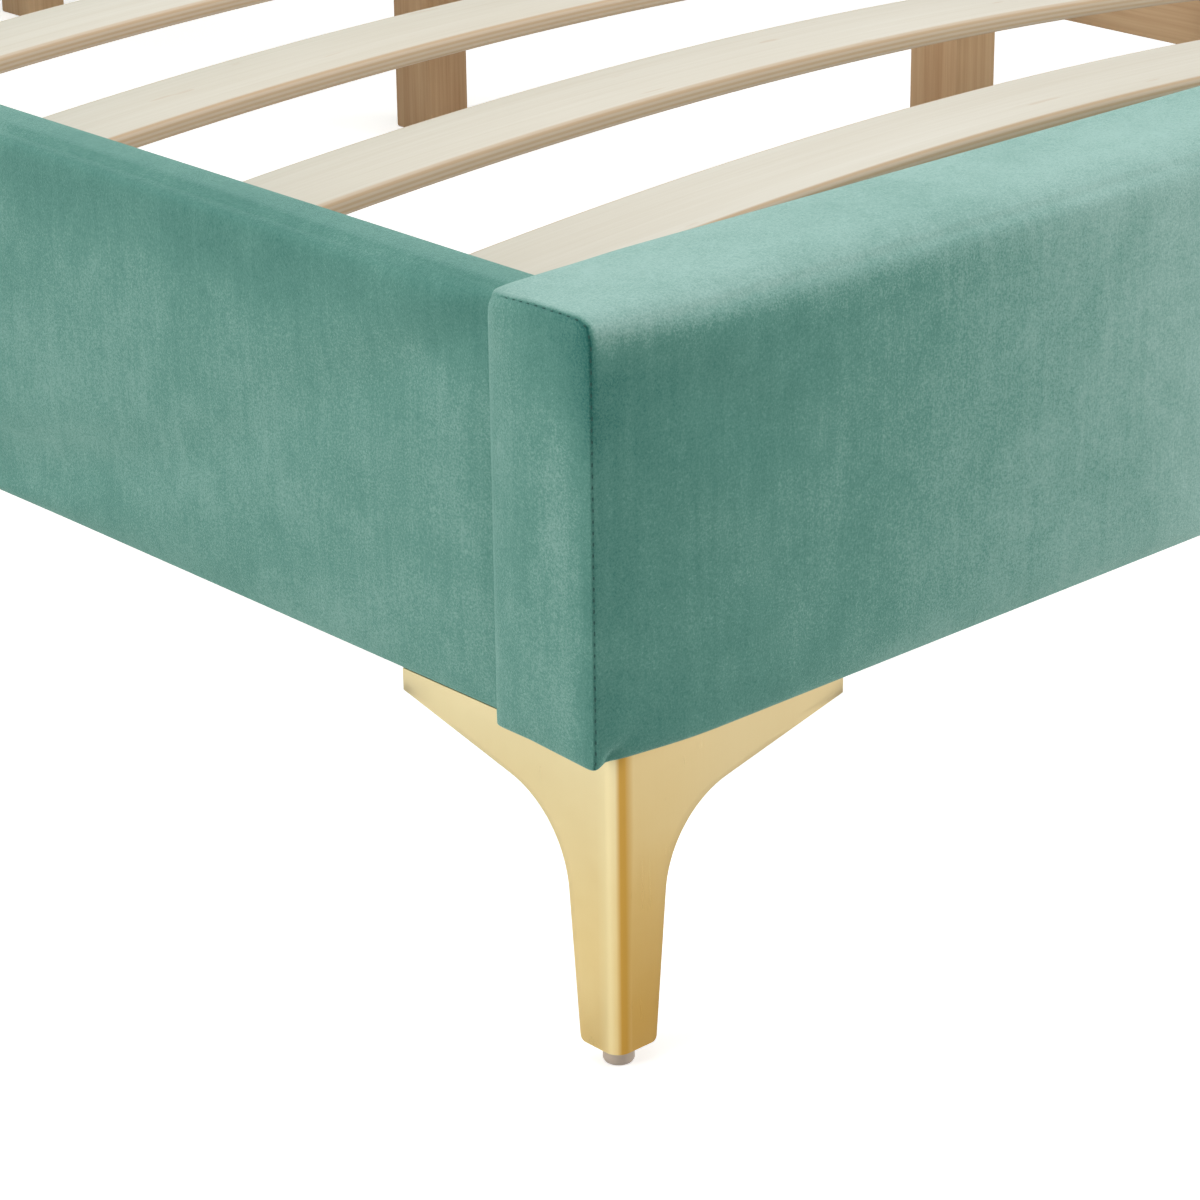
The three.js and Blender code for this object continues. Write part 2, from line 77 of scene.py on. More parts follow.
def add_camera():
    """The camera stands off the front left corner and looks down along the footboard and rail."""
    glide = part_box("levelling_glide_foot_left")
    foot = Vector(((glide[0].x + glide[1].x) / 2, (glide[0].y + glide[1].y) / 2, 0))
    yaw, pitch, roll = (math.radians(angle) for angle in CAMERA_TURN)
    ahead = Vector((math.sin(yaw) * math.cos(pitch), math.cos(yaw) * math.cos(pitch), -math.sin(pitch)))
    right = Vector((math.cos(yaw), -math.sin(yaw), 0))
    down = ahead.cross(right)
    right, down = (
        right * math.cos(roll) + down * math.sin(roll),
        down * math.cos(roll) - right * math.sin(roll),
    )
    data = bpy.data.cameras.new("camera")
    data.sensor_width = 36
    data.lens = CAMERA_LENS
    data.clip_end = 50
    camera = bpy.data.objects.new("camera", data)
    camera.matrix_world = Matrix((right, -down, -ahead)).transposed().to_4x4()
    camera.location = foot + Vector(CAMERA_FROM_FOOT)
    bpy.context.collection.objects.link(camera)
    bpy.context.scene.camera = camera


# ------------------------------------------------------------------ materials

class Nodes:
    """Short calls for building one material's node tree."""

    def __init__(self, name):
        self.material = bpy.data.materials.new(name)
        self.material.use_nodes = True
        self.tree = self.material.node_tree
        self.shader = self.tree.nodes["Principled BSDF"]

    def feed(self, socket, value):
        """Links a socket to another one, or sets its value."""
        if isinstance(value, bpy.types.NodeSocket):
            self.tree.links.new(value, socket)
        else:
            socket.default_value = value

    def add(self, kind, values=None, **settings):
        node = self.tree.nodes.new(kind)
        for key, value in settings.items():
            setattr(node, key, value)
        for key, value in (values or {}).items():
            self.feed(node.inputs[key], value)
        return node

    def set(self, **values):
        for key, value in values.items():
            self.feed(self.shader.inputs[key.replace("_", " ")], value)

    def place(self, scale=(1, 1, 1)):
        """Object coordinates, stretched."""
        coordinates = self.add("ShaderNodeTexCoord").outputs["Object"]
        return self.add("ShaderNodeMapping", {"Vector": coordinates, "Scale": scale}).outputs[0]

    def attribute(self, name, scale=(1, 1, 1)):
        vector = self.add("ShaderNodeAttribute", attribute_name=name).outputs["Vector"]
        return self.add("ShaderNodeMapping", {"Vector": vector, "Scale": scale}).outputs[0]

    def strength(self, name):
        return self.add("ShaderNodeAttribute", attribute_name=name).outputs["Fac"]

    def noise(self, vector, scale, detail=2.0, roughness=0.5, distortion=0.0):
        values = {
            "Vector": vector,
            "Scale": scale,
            "Detail": detail,
            "Roughness": roughness,
            "Distortion": distortion,
        }
        return self.add("ShaderNodeTexNoise", values).outputs["Fac"]

    def spread(self, value, low, high, to_low=0.0, to_high=1.0):
        values = {"Value": value, "From Min": low, "From Max": high, "To Min": to_low, "To Max": to_high}
        return self.add("ShaderNodeMapRange", values).outputs[0]

    def level(self, noise, to_low=0.0, to_high=1.0):
        """A noise value, which mostly keeps near the middle, spread over a range."""
        return self.spread(noise, 0.3, 0.7, to_low, to_high)

    def math(self, operation, a, b=0.0):
        return self.add("ShaderNodeMath", {0: a, 1: b}, operation=operation).outputs[0]

    def plus(self, base, value, share):
        return self.math("ADD", base, self.math("MULTIPLY", value, share))

    def mix(self, factor, a, b):
        return self.add("ShaderNodeMix", {"Factor": factor, 6: a, 7: b}, data_type="RGBA").outputs[2]

    def bump(self, height, distance, strength=1.0):
        values = {"Height": height, "Distance": distance, "Strength": strength}
        return self.add("ShaderNodeBump", values).outputs[0]


def rgb(red, green, blue):
    """An sRGB colour, 0 to 255, as the shader's linear colour."""
    def linear(value):
        value /= 255
        return value / 12.92 if value <= 0.04045 else ((value + 0.055) / 1.055) ** 2.4

    return (linear(red), linear(green), linear(blue), 1.0)


def velvet_material():
    """Short-pile velvet, dark teal to pale mint. An attribute paints light and shade into its colour:
    painted sheen that turns top faces pale mint, painted light and shade across the other faces,
    and painted shade along the seams; noise adds clouds, streaks and speckle."""
    n = Nodes("velvet")
    place = n.place()
    clouds = n.noise(place, 9.0, 4.0, 0.6, 0.6)
    blotches = n.noise(place, 60.0, 4.0, 0.65, 0.4)
    streaks = n.noise(n.place((260, 260, 18)), 1.0, 2.0, 0.6)
    speckle = n.noise(place, 1150.0, 3.0, 0.85)
    fibres = n.noise(place, 2600.0, 1.0, 0.5)
    # a per-point level of painted light and shade, with tone noise added: low is shaded teal, high is
    # painted sheen
    tone_and_painted_light = n.strength("tone_and_painted_light")
    for value, reach in ((clouds, 0.1), (blotches, 0.05), (streaks, 0.035), (speckle, 0.2)):
        tone_and_painted_light = n.math("ADD", tone_and_painted_light, n.level(value, -reach, reach))
    # painted shade along the pressed seams
    tone_and_painted_light = n.math("SUBTRACT", tone_and_painted_light, n.math("MULTIPLY", n.strength("seam"), 0.12))
    # colours: shaded dark teal, middle teal, and the pale mint of painted sheen
    colour = n.mix(n.spread(tone_and_painted_light, 0.0, 0.5), rgb(34, 101, 93), rgb(92, 143, 131))
    colour = n.mix(n.spread(tone_and_painted_light, 0.5, 1.0), colour, rgb(158, 192, 184))
    height = n.plus(n.math("MULTIPLY", speckle, 0.7), fibres, 0.4)
    n.set(
        Base_Color=colour,
        Roughness=0.85,
        Specular_IOR_Level=0.2,
        Sheen_Weight=0.55,
        Sheen_Roughness=0.4,
        Sheen_Tint=rgb(200, 236, 228),
        Normal=n.bump(height, 0.0011, 0.5),
    )
    return n.material


def thread_material():
    n = Nodes("seam_thread")
    twist = n.noise(n.place((900, 900, 2600)), 1.0, 1.0)
    colour = n.mix(twist, rgb(24, 70, 64), rgb(44, 98, 90))
    n.set(Base_Color=colour, Roughness=0.7, Normal=n.bump(twist, 0.0002))
    return n.material


def wood_material(name, pale, dark, edge, ply, grain=1.0):
    """Planed wood. Its grain runs along the first axis of the piece's own "wood" coordinates."""
    n = Nodes(name)
    along = n.attribute("wood")
    rings = n.noise(n.attribute("wood", (1.6, 26, 26)), 1.0, 3.0, 0.55, 1.2)
    lines = n.noise(n.attribute("wood", (7, 420, 420)), 1.0, 3.0, 0.7)
    pores = n.noise(n.attribute("wood", (60, 2400, 2400)), 1.0, 1.0, 0.5)
    blotch = n.noise(along, 5.0, 2.0, 0.5)
    tone = n.math("MULTIPLY", n.level(rings), 0.55 * grain)
    tone = n.plus(tone, n.spread(lines, 0.35, 0.65), 0.3 * grain)
    tone = n.plus(tone, n.level(blotch), 0.25)
    colour = n.mix(tone, pale, dark)
    fleck = n.spread(n.noise(n.attribute("wood", (30, 150, 150)), 1.0, 1.0), 0.74, 0.78)
    colour = n.mix(n.math("MULTIPLY", fleck, 0.25), colour, edge)
    if ply:
        layer = n.add("ShaderNodeSeparateXYZ", {"Vector": along}).outputs["Z"]
        bands = n.math("SINE", n.math("MULTIPLY", layer, 2 * math.pi / (2.4 * MM)))
        band_colour = n.mix(n.spread(bands, -0.6, 0.6), edge, n.mix(0.3, edge, pale))
        ply_colour = n.mix(n.math("MULTIPLY", lines, 0.3), band_colour, dark)
        colour = n.mix(n.strength("edge"), colour, ply_colour)
    height = n.plus(n.math("MULTIPLY", lines, 0.6), pores, 0.4)
    n.set(Base_Color=colour, Roughness=n.level(lines, 0.5, 0.68), Normal=n.bump(height, 0.0002, 0.5))
    return n.material


def gold_material():
    """Satin gold plating on brushed sheet, with painted shade and painted highlights placed along the fold.
    """
    n = Nodes("brushed_gold")
    brushed = n.noise(n.place((1500, 1500, 14)), 1.0, 2.0, 0.6)
    cloud = n.noise(n.place(), 22.0, 3.0, 0.6)
    fine = n.noise(n.place(), 900.0, 2.0, 0.6)
    colour = n.mix(n.level(cloud), rgb(239, 210, 144), rgb(248, 224, 164))
    across = n.strength("across")
    # painted shade: a dark band just past the fold on the front wing
    fading = n.spread(across, 5 * MM, 11 * MM, 0.95, 0.12)
    fold_shade = n.math("MULTIPLY", n.spread(across, 0.0, 2.5 * MM), fading)
    up = n.strength("up")
    # painted highlight: paler towards the top
    colour = n.mix(n.spread(up, 50 * MM, 125 * MM, 0.0, 0.5), colour, rgb(255, 246, 208))
    # painted shade: the front wing darker low down
    low = n.spread(up, 20 * MM, 95 * MM, 1.0, 0.0)
    side = n.math("MULTIPLY", n.spread(across, 2 * MM, 8 * MM), n.spread(low, 0.0, 1.0, 0.35, 0.75))
    # painted highlight: paler far along the front wing
    colour = n.mix(n.spread(across, 12 * MM, 60 * MM, 0.0, 0.7), colour, rgb(255, 244, 205))
    # the dark orange of the painted shade
    colour = n.mix(n.math("MAXIMUM", fold_shade, side), colour, rgb(206, 158, 68))
    # painted glint: a pale highlight on the side wing just before the fold
    before_fold = n.spread(across, -3 * MM, 0.0, 1.0, 0.0)
    glint = n.math("MULTIPLY", n.spread(across, -10 * MM, -4 * MM), before_fold)
    colour = n.mix(n.math("MULTIPLY", glint, 0.6), colour, rgb(255, 240, 190))
    rough = n.math("ADD", n.level(cloud, 0.25, 0.33), n.level(brushed, 0.0, 0.07))
    n.set(
        Base_Color=colour,
        Metallic=1.0,
        Roughness=rough,
        Normal=n.bump(n.plus(brushed, fine, 0.4), 0.00006, 0.35),
    )
    return n.material


def steel_material():
    n = Nodes("black_powder_coat")
    peel = n.noise(n.place(), 1300.0, 2.0, 0.6)
    wear = n.noise(n.place(), 60.0, 4.0, 0.7)
    colour = n.mix(n.spread(wear, 0.6, 0.75), rgb(38, 39, 41), rgb(62, 63, 66))
    n.set(Base_Color=colour, Roughness=0.48, Normal=n.bump(peel, 0.0003, 0.4))
    return n.material


def zinc_material():
    n = Nodes("zinc_plated_steel")
    cloud = n.noise(n.place(), 300.0, 3.0, 0.6)
    colour = n.mix(cloud, rgb(150, 152, 150), rgb(196, 198, 196))
    n.set(Base_Color=colour, Metallic=1.0, Roughness=n.level(cloud, 0.28, 0.42))
    return n.material


def glide_material():
    """Translucent grey-beige moulded plastic."""
    n = Nodes("glide_plastic")
    cloud = n.noise(n.place(), 240.0, 2.0, 0.5)
    scuff = n.noise(n.place((1, 1, 4)), 900.0, 2.0, 0.7)
    colour = n.mix(cloud, rgb(178, 164, 152), rgb(200, 186, 172))
    n.set(
        Base_Color=colour,
        Roughness=n.level(scuff, 0.3, 0.5),
        Subsurface_Weight=0.3,
        Subsurface_Radius=(0.004, 0.003, 0.002),
        Normal=n.bump(scuff, 0.0001, 0.4),
    )
    return n.material


def back_cloth_material():
    """Charcoal non-woven cloth: pressed fibres with a fine dimpled bond pattern."""
    n = Nodes("back_cloth")
    fibres = n.noise(n.place(), 1400.0, 3.0, 0.75, 0.6)
    dots = n.add("ShaderNodeTexVoronoi", {"Vector": n.place(), "Scale": 620.0}).outputs["Distance"]
    cloud = n.noise(n.place(), 14.0, 3.0, 0.6)
    colour = n.mix(n.level(fibres), rgb(56, 59, 62), rgb(88, 92, 95))
    colour = n.mix(n.math("MULTIPLY", cloud, 0.35), colour, rgb(100, 104, 106))
    height = n.plus(n.math("MULTIPLY", fibres, 0.5), dots, 0.8)
    n.set(
        Base_Color=colour,
        Roughness=0.92,
        Sheen_Weight=0.25,
        Sheen_Roughness=0.5,
        Normal=n.bump(height, 0.0006, 0.5),
    )
    return n.material


# ------------------------------------------------------------------ mesh helpers

def make_piece(name, vertices, faces, material, body="root", replaces=()):
    """A named mesh in the frame, riding on a body."""
    mesh = bpy.data.meshes.new(name)
    mesh.from_pydata([tuple(v) for v in vertices], [], [tuple(f) for f in faces])
    mesh.materials.append(material)
    piece = bpy.data.objects.new(name, mesh)
    bpy.context.collection.objects.link(piece)
    face_outwards(piece)
    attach(piece, body)
    if replaces:
        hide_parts(*replaces)
    return piece


def ring_faces(rings, sides, first=0):
    """The quads between rings of points that follow one another from index first."""
    faces = []
    for ring in range(rings - 1):
        for k in range(sides):
            a, b = first + ring * sides + k, first + ring * sides + (k + 1) % sides
            faces.append((a, b, b + sides, a + sides))
    return faces


def face_outwards(piece):
    edit = bmesh.new()
    edit.from_mesh(piece.data)
    bmesh.ops.recalc_face_normals(edit, faces=edit.faces)
    edit.to_mesh(piece.data)
    edit.free()


def apply_modifiers(piece):
    evaluated = piece.evaluated_get(bpy.context.evaluated_depsgraph_get())
    mesh = bpy.data.meshes.new_from_object(evaluated)
    piece.modifiers.clear()
    piece.data = mesh


def smooth(piece, angle=35):
    piece.data.shade_smooth()
    piece.data.set_sharp_from_angle(angle=math.radians(angle))


def bevel(piece, width, segments=2, angle=30):
    modifier = piece.modifiers.new("bevel", "BEVEL")
    modifier.width = width
    modifier.segments = segments
    modifier.limit_method = "ANGLE"
    modifier.angle_limit = math.radians(angle)
    modifier.harden_normals = False
    apply_modifiers(piece)
    smooth(piece)


def coordinates(piece, kind="co"):
    values = np.empty(len(piece.data.vertices) * 3)
    piece.data.vertices.foreach_get(kind, values)
    return values.reshape(-1, 3)


def set_coordinates(piece, values):
    piece.data.vertices.foreach_set("co", np.ascontiguousarray(values, float).ravel())
    piece.data.update()


def normals(piece):
    return coordinates(piece, "normal")


def corners(node):
    """The low and high corners of a CAD node's box, as arrays."""
    return [np.array(corner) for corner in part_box(node)]


def set_attribute(piece, name, values):
    attribute = piece.data.attributes.new(name, "FLOAT", "POINT")
    attribute.data.foreach_set("value", np.ascontiguousarray(values, float))


def get_attribute(piece, name):
    values = np.empty(len(piece.data.vertices))
    piece.data.attributes[name].data.foreach_get("value", values)
    return values


# ------------------------------------------------------------------ padded covers

def rows(low, high, step, extra=()):
    """Grid positions from low to high: close together at both ends, and exactly on the extra places."""
    steps = [s for s in EDGE_STEPS if s < (high - low) / 2 - step / 2]
    first, last = low + steps[-1], high - steps[-1]
    count = max(1, round((last - first) / step))
    places = [low + s for s in steps[:-1]] + list(np.linspace(first, last, count + 1))
    places += [high - s for s in reversed(steps[:-1])]
    for place in extra:
        places = [p for p in places if abs(p - place) > step / 5 or p in (low, high)]
        places.append(place)
    return np.array(sorted(places))


def solid_skin(lines, hollow):
    """The surface of a box, less a hollow box, as grid quads. Returns points, quads and which points
    lie on the box's own six faces, clear of the hollow."""
    low = np.array([line[0] for line in lines])
    high = np.array([line[-1] for line in lines])
    middles = np.meshgrid(*[(line[1:] + line[:-1]) / 2 for line in lines], indexing="ij")
    inside = np.all([(m > a) & (m < b) for m, a, b in zip(middles, *hollow)], axis=0)
    solid = np.pad(~inside, 1)
    counts = [len(line) for line in lines]
    quads = []
    for axis in range(3):
        change = np.diff(solid.astype(int), axis=axis)
        keep = [slice(1, -1)] * 3
        keep[axis] = slice(None)
        u, v = (axis + 1) % 3, (axis + 2) % 3
        for sign in (-1, 1):
            cells = np.argwhere(change[tuple(keep)] == sign)
            indices = []
            for du, dv in ((0, 0), (1, 0), (1, 1), (0, 1)):
                corner = cells.copy()
                corner[:, u] += du
                corner[:, v] += dv
                indices.append(np.ravel_multi_index(corner.T, counts))
            quad = np.stack(indices, axis=1)
            quads.append(quad if sign == -1 else quad[:, ::-1])
    quads = np.concatenate(quads)
    used, quads = np.unique(quads, return_inverse=True)
    quads = quads.reshape(-1, 4)
    index = np.unravel_index(used, counts)
    points = np.stack([line[i] for line, i in zip(lines, index)], axis=1)
    outer = np.any((points == low) | (points == high), axis=1)
    return points, quads, outer & ~in_hollow(points, hollow)


def round_edge(points, outer, low, high, axes, signs, radius):
    """Rounds one edge of a box: maps the square beside the edge onto a quarter disc."""
    offsets = []
    for axis, sign in zip(axes, signs):
        corner = high[axis] if sign > 0 else low[axis]
        offsets.append(sign * (points[:, axis] - corner) + radius)
    a, b = offsets
    inside = outer & (a > 0) & (b > 0)
    length = np.hypot(a, b)
    scale = np.where(inside, np.maximum(a, b) / np.maximum(length, 1e-12), 1.0)
    for axis, sign, offset in zip(axes, signs, offsets):
        points[:, axis] += sign * np.where(inside, offset * (scale - 1), 0.0)


def smooth_step(value, low, high):
    share = np.clip((value - low) / (high - low), 0, 1)
    return share * share * (3 - 2 * share)


def start_cloth(piece, outer, pinned):
    """A cloth copy of the cover's outer skin, held at its pinned points and blown up from inside."""
    faces = [tuple(f.vertices) for f in piece.data.polygons]
    faces = [f for f in faces if all(outer[i] for i in f)]
    used = sorted({i for f in faces for i in f})
    place = {old: new for new, old in enumerate(used)}
    mesh = bpy.data.meshes.new(piece.name + "_cloth")
    points = coordinates(piece)
    mesh.from_pydata([tuple(points[i]) for i in used], [], [tuple(place[i] for i in f) for f in faces])
    skin = bpy.data.objects.new(piece.name + "_cloth", mesh)
    bpy.context.collection.objects.link(skin)
    group = skin.vertex_groups.new(name="pin")
    group.add([place[i] for i in used if pinned[i]], 1.0, "REPLACE")
    cloth = skin.modifiers.new("cloth", "CLOTH")
    settings = cloth.settings
    settings.quality = 5
    settings.mass = 0.3
    settings.tension_stiffness = 15
    settings.compression_stiffness = 15
    settings.shear_stiffness = 5
    settings.bending_stiffness = 0.5
    settings.use_pressure = True
    settings.uniform_pressure_force = CLOTH_PRESSURE
    settings.vertex_group_mass = "pin"
    settings.effector_weights.gravity = 0
    cloth.point_cache.frame_start = 1
    cloth.point_cache.frame_end = SIM_FRAMES
    return skin, np.array(used)


def run_cloth():
    for number in range(1, SIM_FRAMES + 1):
        bpy.context.scene.frame_set(number)


def take_cloth(piece, cloth, cap):
    """Moves the cover as its cloth moved: out by no more than the cap, and hardly in or along."""
    skin, used = cloth
    rest = coordinates(piece)
    facing = normals(piece)[used]
    apply_modifiers(skin)
    moved = coordinates(skin) - rest[used]
    out = np.sum(moved * facing, axis=1)
    along = moved - facing * out[:, None]
    limit = cap[used]
    out = np.where(out > 0, limit * np.tanh(out / np.maximum(limit, 1e-9)), np.maximum(out, -CLOTH_SINK))
    length = np.linalg.norm(along, axis=1)
    along *= (np.minimum(length, CLOTH_DRIFT) / np.maximum(length, 1e-9))[:, None]
    rest[used] += facing * out[:, None] + along
    set_coordinates(piece, rest)
    bpy.data.objects.remove(skin)


def blow_up(piece, outer, pinned, cap):
    """Adds the cover to the shared cloth run, waits for it, takes its result, and subdivides."""
    cloth = start_cloth(piece, outer, pinned)
    yield
    take_cloth(piece, cloth, cap)
    subdivide(piece)


def subdivide(piece):
    modifier = piece.modifiers.new("subdivision", "SUBSURF")
    modifier.levels = 1
    modifier.render_levels = 1
    modifier.boundary_smooth = "PRESERVE_CORNERS"
    apply_modifiers(piece)


def press_seam(piece, depth):
    """Pulls the sewn line in, and less so the points beside it."""
    seam = np.clip(get_attribute(piece, "seam"), 0, 1)
    points = coordinates(piece)
    set_coordinates(piece, points - normals(piece) * (depth * seam**3)[:, None])


def seam_path(piece, name):
    """The sewn line's points and normals, in order along it."""
    order = get_attribute(piece, name)
    chosen = np.nonzero(get_attribute(piece, name + "_on") > 0.999)[0]
    chosen = chosen[np.argsort(order[chosen])]
    return coordinates(piece)[chosen], normals(piece)[chosen]


def stitches(name, paths, material):
    """A row of short threads along each path: each is a small capsule, lightly uneven."""
    random = np.random.default_rng(11)
    sides, rings = 6, ((-1.0, 0.0), (-0.8, 0.75), (0.0, 1.0), (0.8, 0.75), (1.0, 0.0))
    vertices, faces = [], []
    for points, ups in paths:
        gaps = np.linalg.norm(np.diff(points, axis=0), axis=1)
        reach = np.concatenate([[0], np.cumsum(gaps)])

        def at_length(values, length, reach=reach):
            return np.array([np.interp(length, reach, values[:, i]) for i in range(3)])

        for start in np.arange(STITCH_PITCH / 2, reach[-1], STITCH_PITCH):
            along = at_length(points, start + MM) - at_length(points, start - MM)
            along /= np.linalg.norm(along)
            up = at_length(ups, start)
            up -= along * up.dot(along)
            up /= np.linalg.norm(up)
            side = np.cross(along, up)
            along = along + side * random.normal(0, STITCH_SLANT)
            centre = at_length(points, start) + up * STITCH_LIFT + side * random.normal(0, STITCH_WANDER)
            half = STITCH_LENGTH / 2 * random.uniform(0.85, 1.1)
            base = len(vertices)
            vertices.append(centre - along * half)
            for t, r in rings[1:-1]:
                for k in range(sides):
                    angle = 2 * math.pi * k / sides
                    around = side * math.cos(angle) + up * 0.7 * math.sin(angle)
                    vertices.append(centre + along * half * t + around * STITCH_RADIUS * r)
            vertices.append(centre + along * half)
            for k in range(sides):
                nxt = (k + 1) % sides
                faces.append((base, base + 1 + nxt, base + 1 + k))
                for ring in range(len(rings) - 3):
                    a = base + 1 + ring * sides
                    faces.append((a + k, a + nxt, a + sides + nxt, a + sides + k))
                last = base + 1 + (len(rings) - 3) * sides
                faces.append((last + k, last + nxt, len(vertices) - 1))
    smooth(make_piece(name, vertices, faces, material), 180)


def mark_path(piece, name, on, order):
    """Stores a row of stitches: which points lie on it, and how far along it they are."""
    set_attribute(piece, name + "_on", on.astype(float))
    set_attribute(piece, name, order)


def board_hollow(node, low):
    """The space inside a cover for its board, open below."""
    board_low, board_high = corners(node)
    hollow = (board_low - BOARD_GAP, board_high + BOARD_GAP)
    hollow[0][2] = low[2] - 1
    return hollow


# ------------------------------------------------------------------ footboard

def footboard_cover(velvet, thread):
    """A boxed cover: one length of velvet over front, top and back, and a sewn panel at each end."""
    node = "footboard_upholstery"
    low, high = corners(node)
    low = low + np.array([0.5, 3.3, 0]) * MM
    high = high - np.array([0.5, 0, 0]) * MM
    hollow = board_hollow("footboard_board", low)
    extra = [(hollow[0][0], hollow[1][0]), (hollow[0][1], hollow[1][1]), (hollow[1][2],)]
    steps = (1.5 * PADDING_STEP, PADDING_STEP, PADDING_STEP)
    lines = [rows(low[i], high[i], steps[i], extra[i]) for i in range(3)]
    points, quads, outer = solid_skin(lines, hollow)
    start = points.copy()
    edge = partial(round_edge, points, outer, low, high)
    from_end = np.minimum(points[:, 0] - low[0], high[0] - points[:, 0])
    depth = points[:, 1] - low[1]

    rear = smooth_step(depth, 28 * MM, 52 * MM)
    for sign in (-1, 1):
        edge(XY, (sign, -1), 3 * MM)
        edge(XY, (sign, 1), 8 * MM)
        edge(XZ, (sign, 1), (3 + 6 * rear) * MM)
        edge(XZ, (sign, -1), 2.5 * MM)
    wide = smooth_step(from_end, 0, 60 * MM)
    edge(YZ, (-1, 1), (9 + 6 * wide) * MM)
    edge(YZ, (1, 1), (7 + 4 * wide) * MM)
    edge(YZ, (-1, -1), 4.5 * MM)
    edge(YZ, (1, -1), 3 * MM)

    thick, tall = high[1] - low[1], high[2] - low[2]
    swell = smooth_step(from_end, -4 * MM, 52 * MM)
    forward = 5.8 * MM * swell * (1 - depth / thick)
    upward = 1.8 * MM * smooth_step(from_end, 0, 45 * MM) * (start[:, 2] - low[2]) / tall
    above_slats = smooth_step(start[:, 2], low[2] + 118 * MM, low[2] + 145 * MM)
    back = 2.6 * MM * smooth_step(from_end, 38 * MM, 62 * MM) * above_slats * depth / thick
    points[:, 1] += np.where(outer, back - forward, 0)
    points[:, 2] += np.where(outer, upward, 0)

    piece = make_piece("footboard_cover", points, quads, velvet, replaces=(node,))
    at_end = (start[:, 0] == low[0]) | (start[:, 0] == high[0])
    on_front = at_end & (start[:, 1] == low[1])
    on_top = at_end & (start[:, 2] == high[2]) & (depth < 50 * MM)
    seam = on_front | on_top
    order = np.where(on_front, start[:, 2] - low[2], tall + depth)
    set_attribute(piece, "seam", seam.astype(float))
    mark_path(piece, "stitch", seam, order + np.where(start[:, 0] > 0, 10.0, 0.0))

    side = smooth_step(from_end, 0, 3 * MM)
    # painted light on the front: painted shade near the corner, lighter towards the middle
    tone_and_painted_light = 0.34 + 0.5 * np.clip((from_end - 10 * MM) / (350 * MM), 0, 1)
    # painted sheen: the top face is painted pale
    on_top_face = smooth_step(start[:, 2], high[2] - 20 * MM, high[2] - 1 * MM)
    tone_and_painted_light = tone_and_painted_light + (0.86 - tone_and_painted_light) * on_top_face
    # painted shade on the end panels: darker towards the top at the front, and in a strip beside the front
    # seam
    end_tone_and_painted_shade = 0.57 - 0.24 * smooth_step(start[:, 2], high[2] - 55 * MM, high[2]) * (1 - rear)
    end_tone_and_painted_shade = end_tone_and_painted_shade - 0.2 * np.exp(-((depth / (9 * MM)) ** 2))
    set_attribute(piece, "tone_and_painted_light", np.where(at_end, end_tone_and_painted_shade, tone_and_painted_light) * side + end_tone_and_painted_shade * (1 - side))

    is_back = start[:, 1] == high[1]
    held = is_back & ((start[:, 2] < low[2] + 115 * MM) | (from_end < 45 * MM))
    pinned = ~outer | seam | held | (start[:, 2] == low[2])
    cap = np.full(len(start), 1.0 * MM)
    cap[start[:, 1] == low[1]] = 2.5 * MM
    cap[at_end] = 2.4 * MM
    yield from blow_up(piece, outer, pinned, cap)
    tuck_corners(piece, low, high)
    press_seam(piece, 0.6 * MM)
    smooth(piece, 180)

    paths = []
    all_points, all_normals = seam_path(piece, "stitch")
    for sign in (-1, 1):
        side = all_points[:, 0] * sign > 0
        paths.append((all_points[side], all_normals[side]))
    stitches("footboard_seam_stitches", paths, thread)


def in_hollow(points, hollow):
    """Points on the walls of the hollow, which stay where the board needs them."""
    near = [(points[:, i] >= hollow[0][i] - 1e-6) & (points[:, i] <= hollow[1][i] + 1e-6) for i in range(3)]
    return near[0] & near[1] & near[2]


def tuck_corners(piece, low, high):
    """The small fold where the end seam is pulled under the bottom edge."""
    points = coordinates(piece)
    for sign in (-1, 1):
        end = high[0] if sign > 0 else low[0]
        dx = (end - points[:, 0]) * sign / MM
        dz = (points[:, 2] - low[2]) / MM
        front = points[:, 1] < low[1] + 8 * MM
        dimple = np.exp(-((dx - 8) ** 2) / 14 - ((dz - 3) ** 2) / 12) * 2.2
        along = np.clip((dx - 8) / 22, 0, 1)
        off = (dx - 8) * 0.64 - (dz - 4) * 0.77
        crease = np.exp(-(off**2) / 5) * np.clip((dx - 6) / 3, 0, 1) * (1 - along) ** 1.5 * 1.1
        ridge = np.exp(-((off + 4.5) ** 2) / 8) * np.clip((dx - 6) / 3, 0, 1) * (1 - along) ** 1.5 * 0.5
        points[:, 1] += np.where(front, (dimple + crease - ridge) * MM, 0)
        behind = np.clip(1 - (points[:, 1] - low[1]) / (36 * MM), 0, 1)
        sag = np.exp(-((dx + 0.5) ** 2) / 45) * np.exp(-(dz**2) / 60) * behind
        points[:, 2] -= sag * 1.9 * MM
    set_coordinates(piece, points)


# ------------------------------------------------------------------ side rails

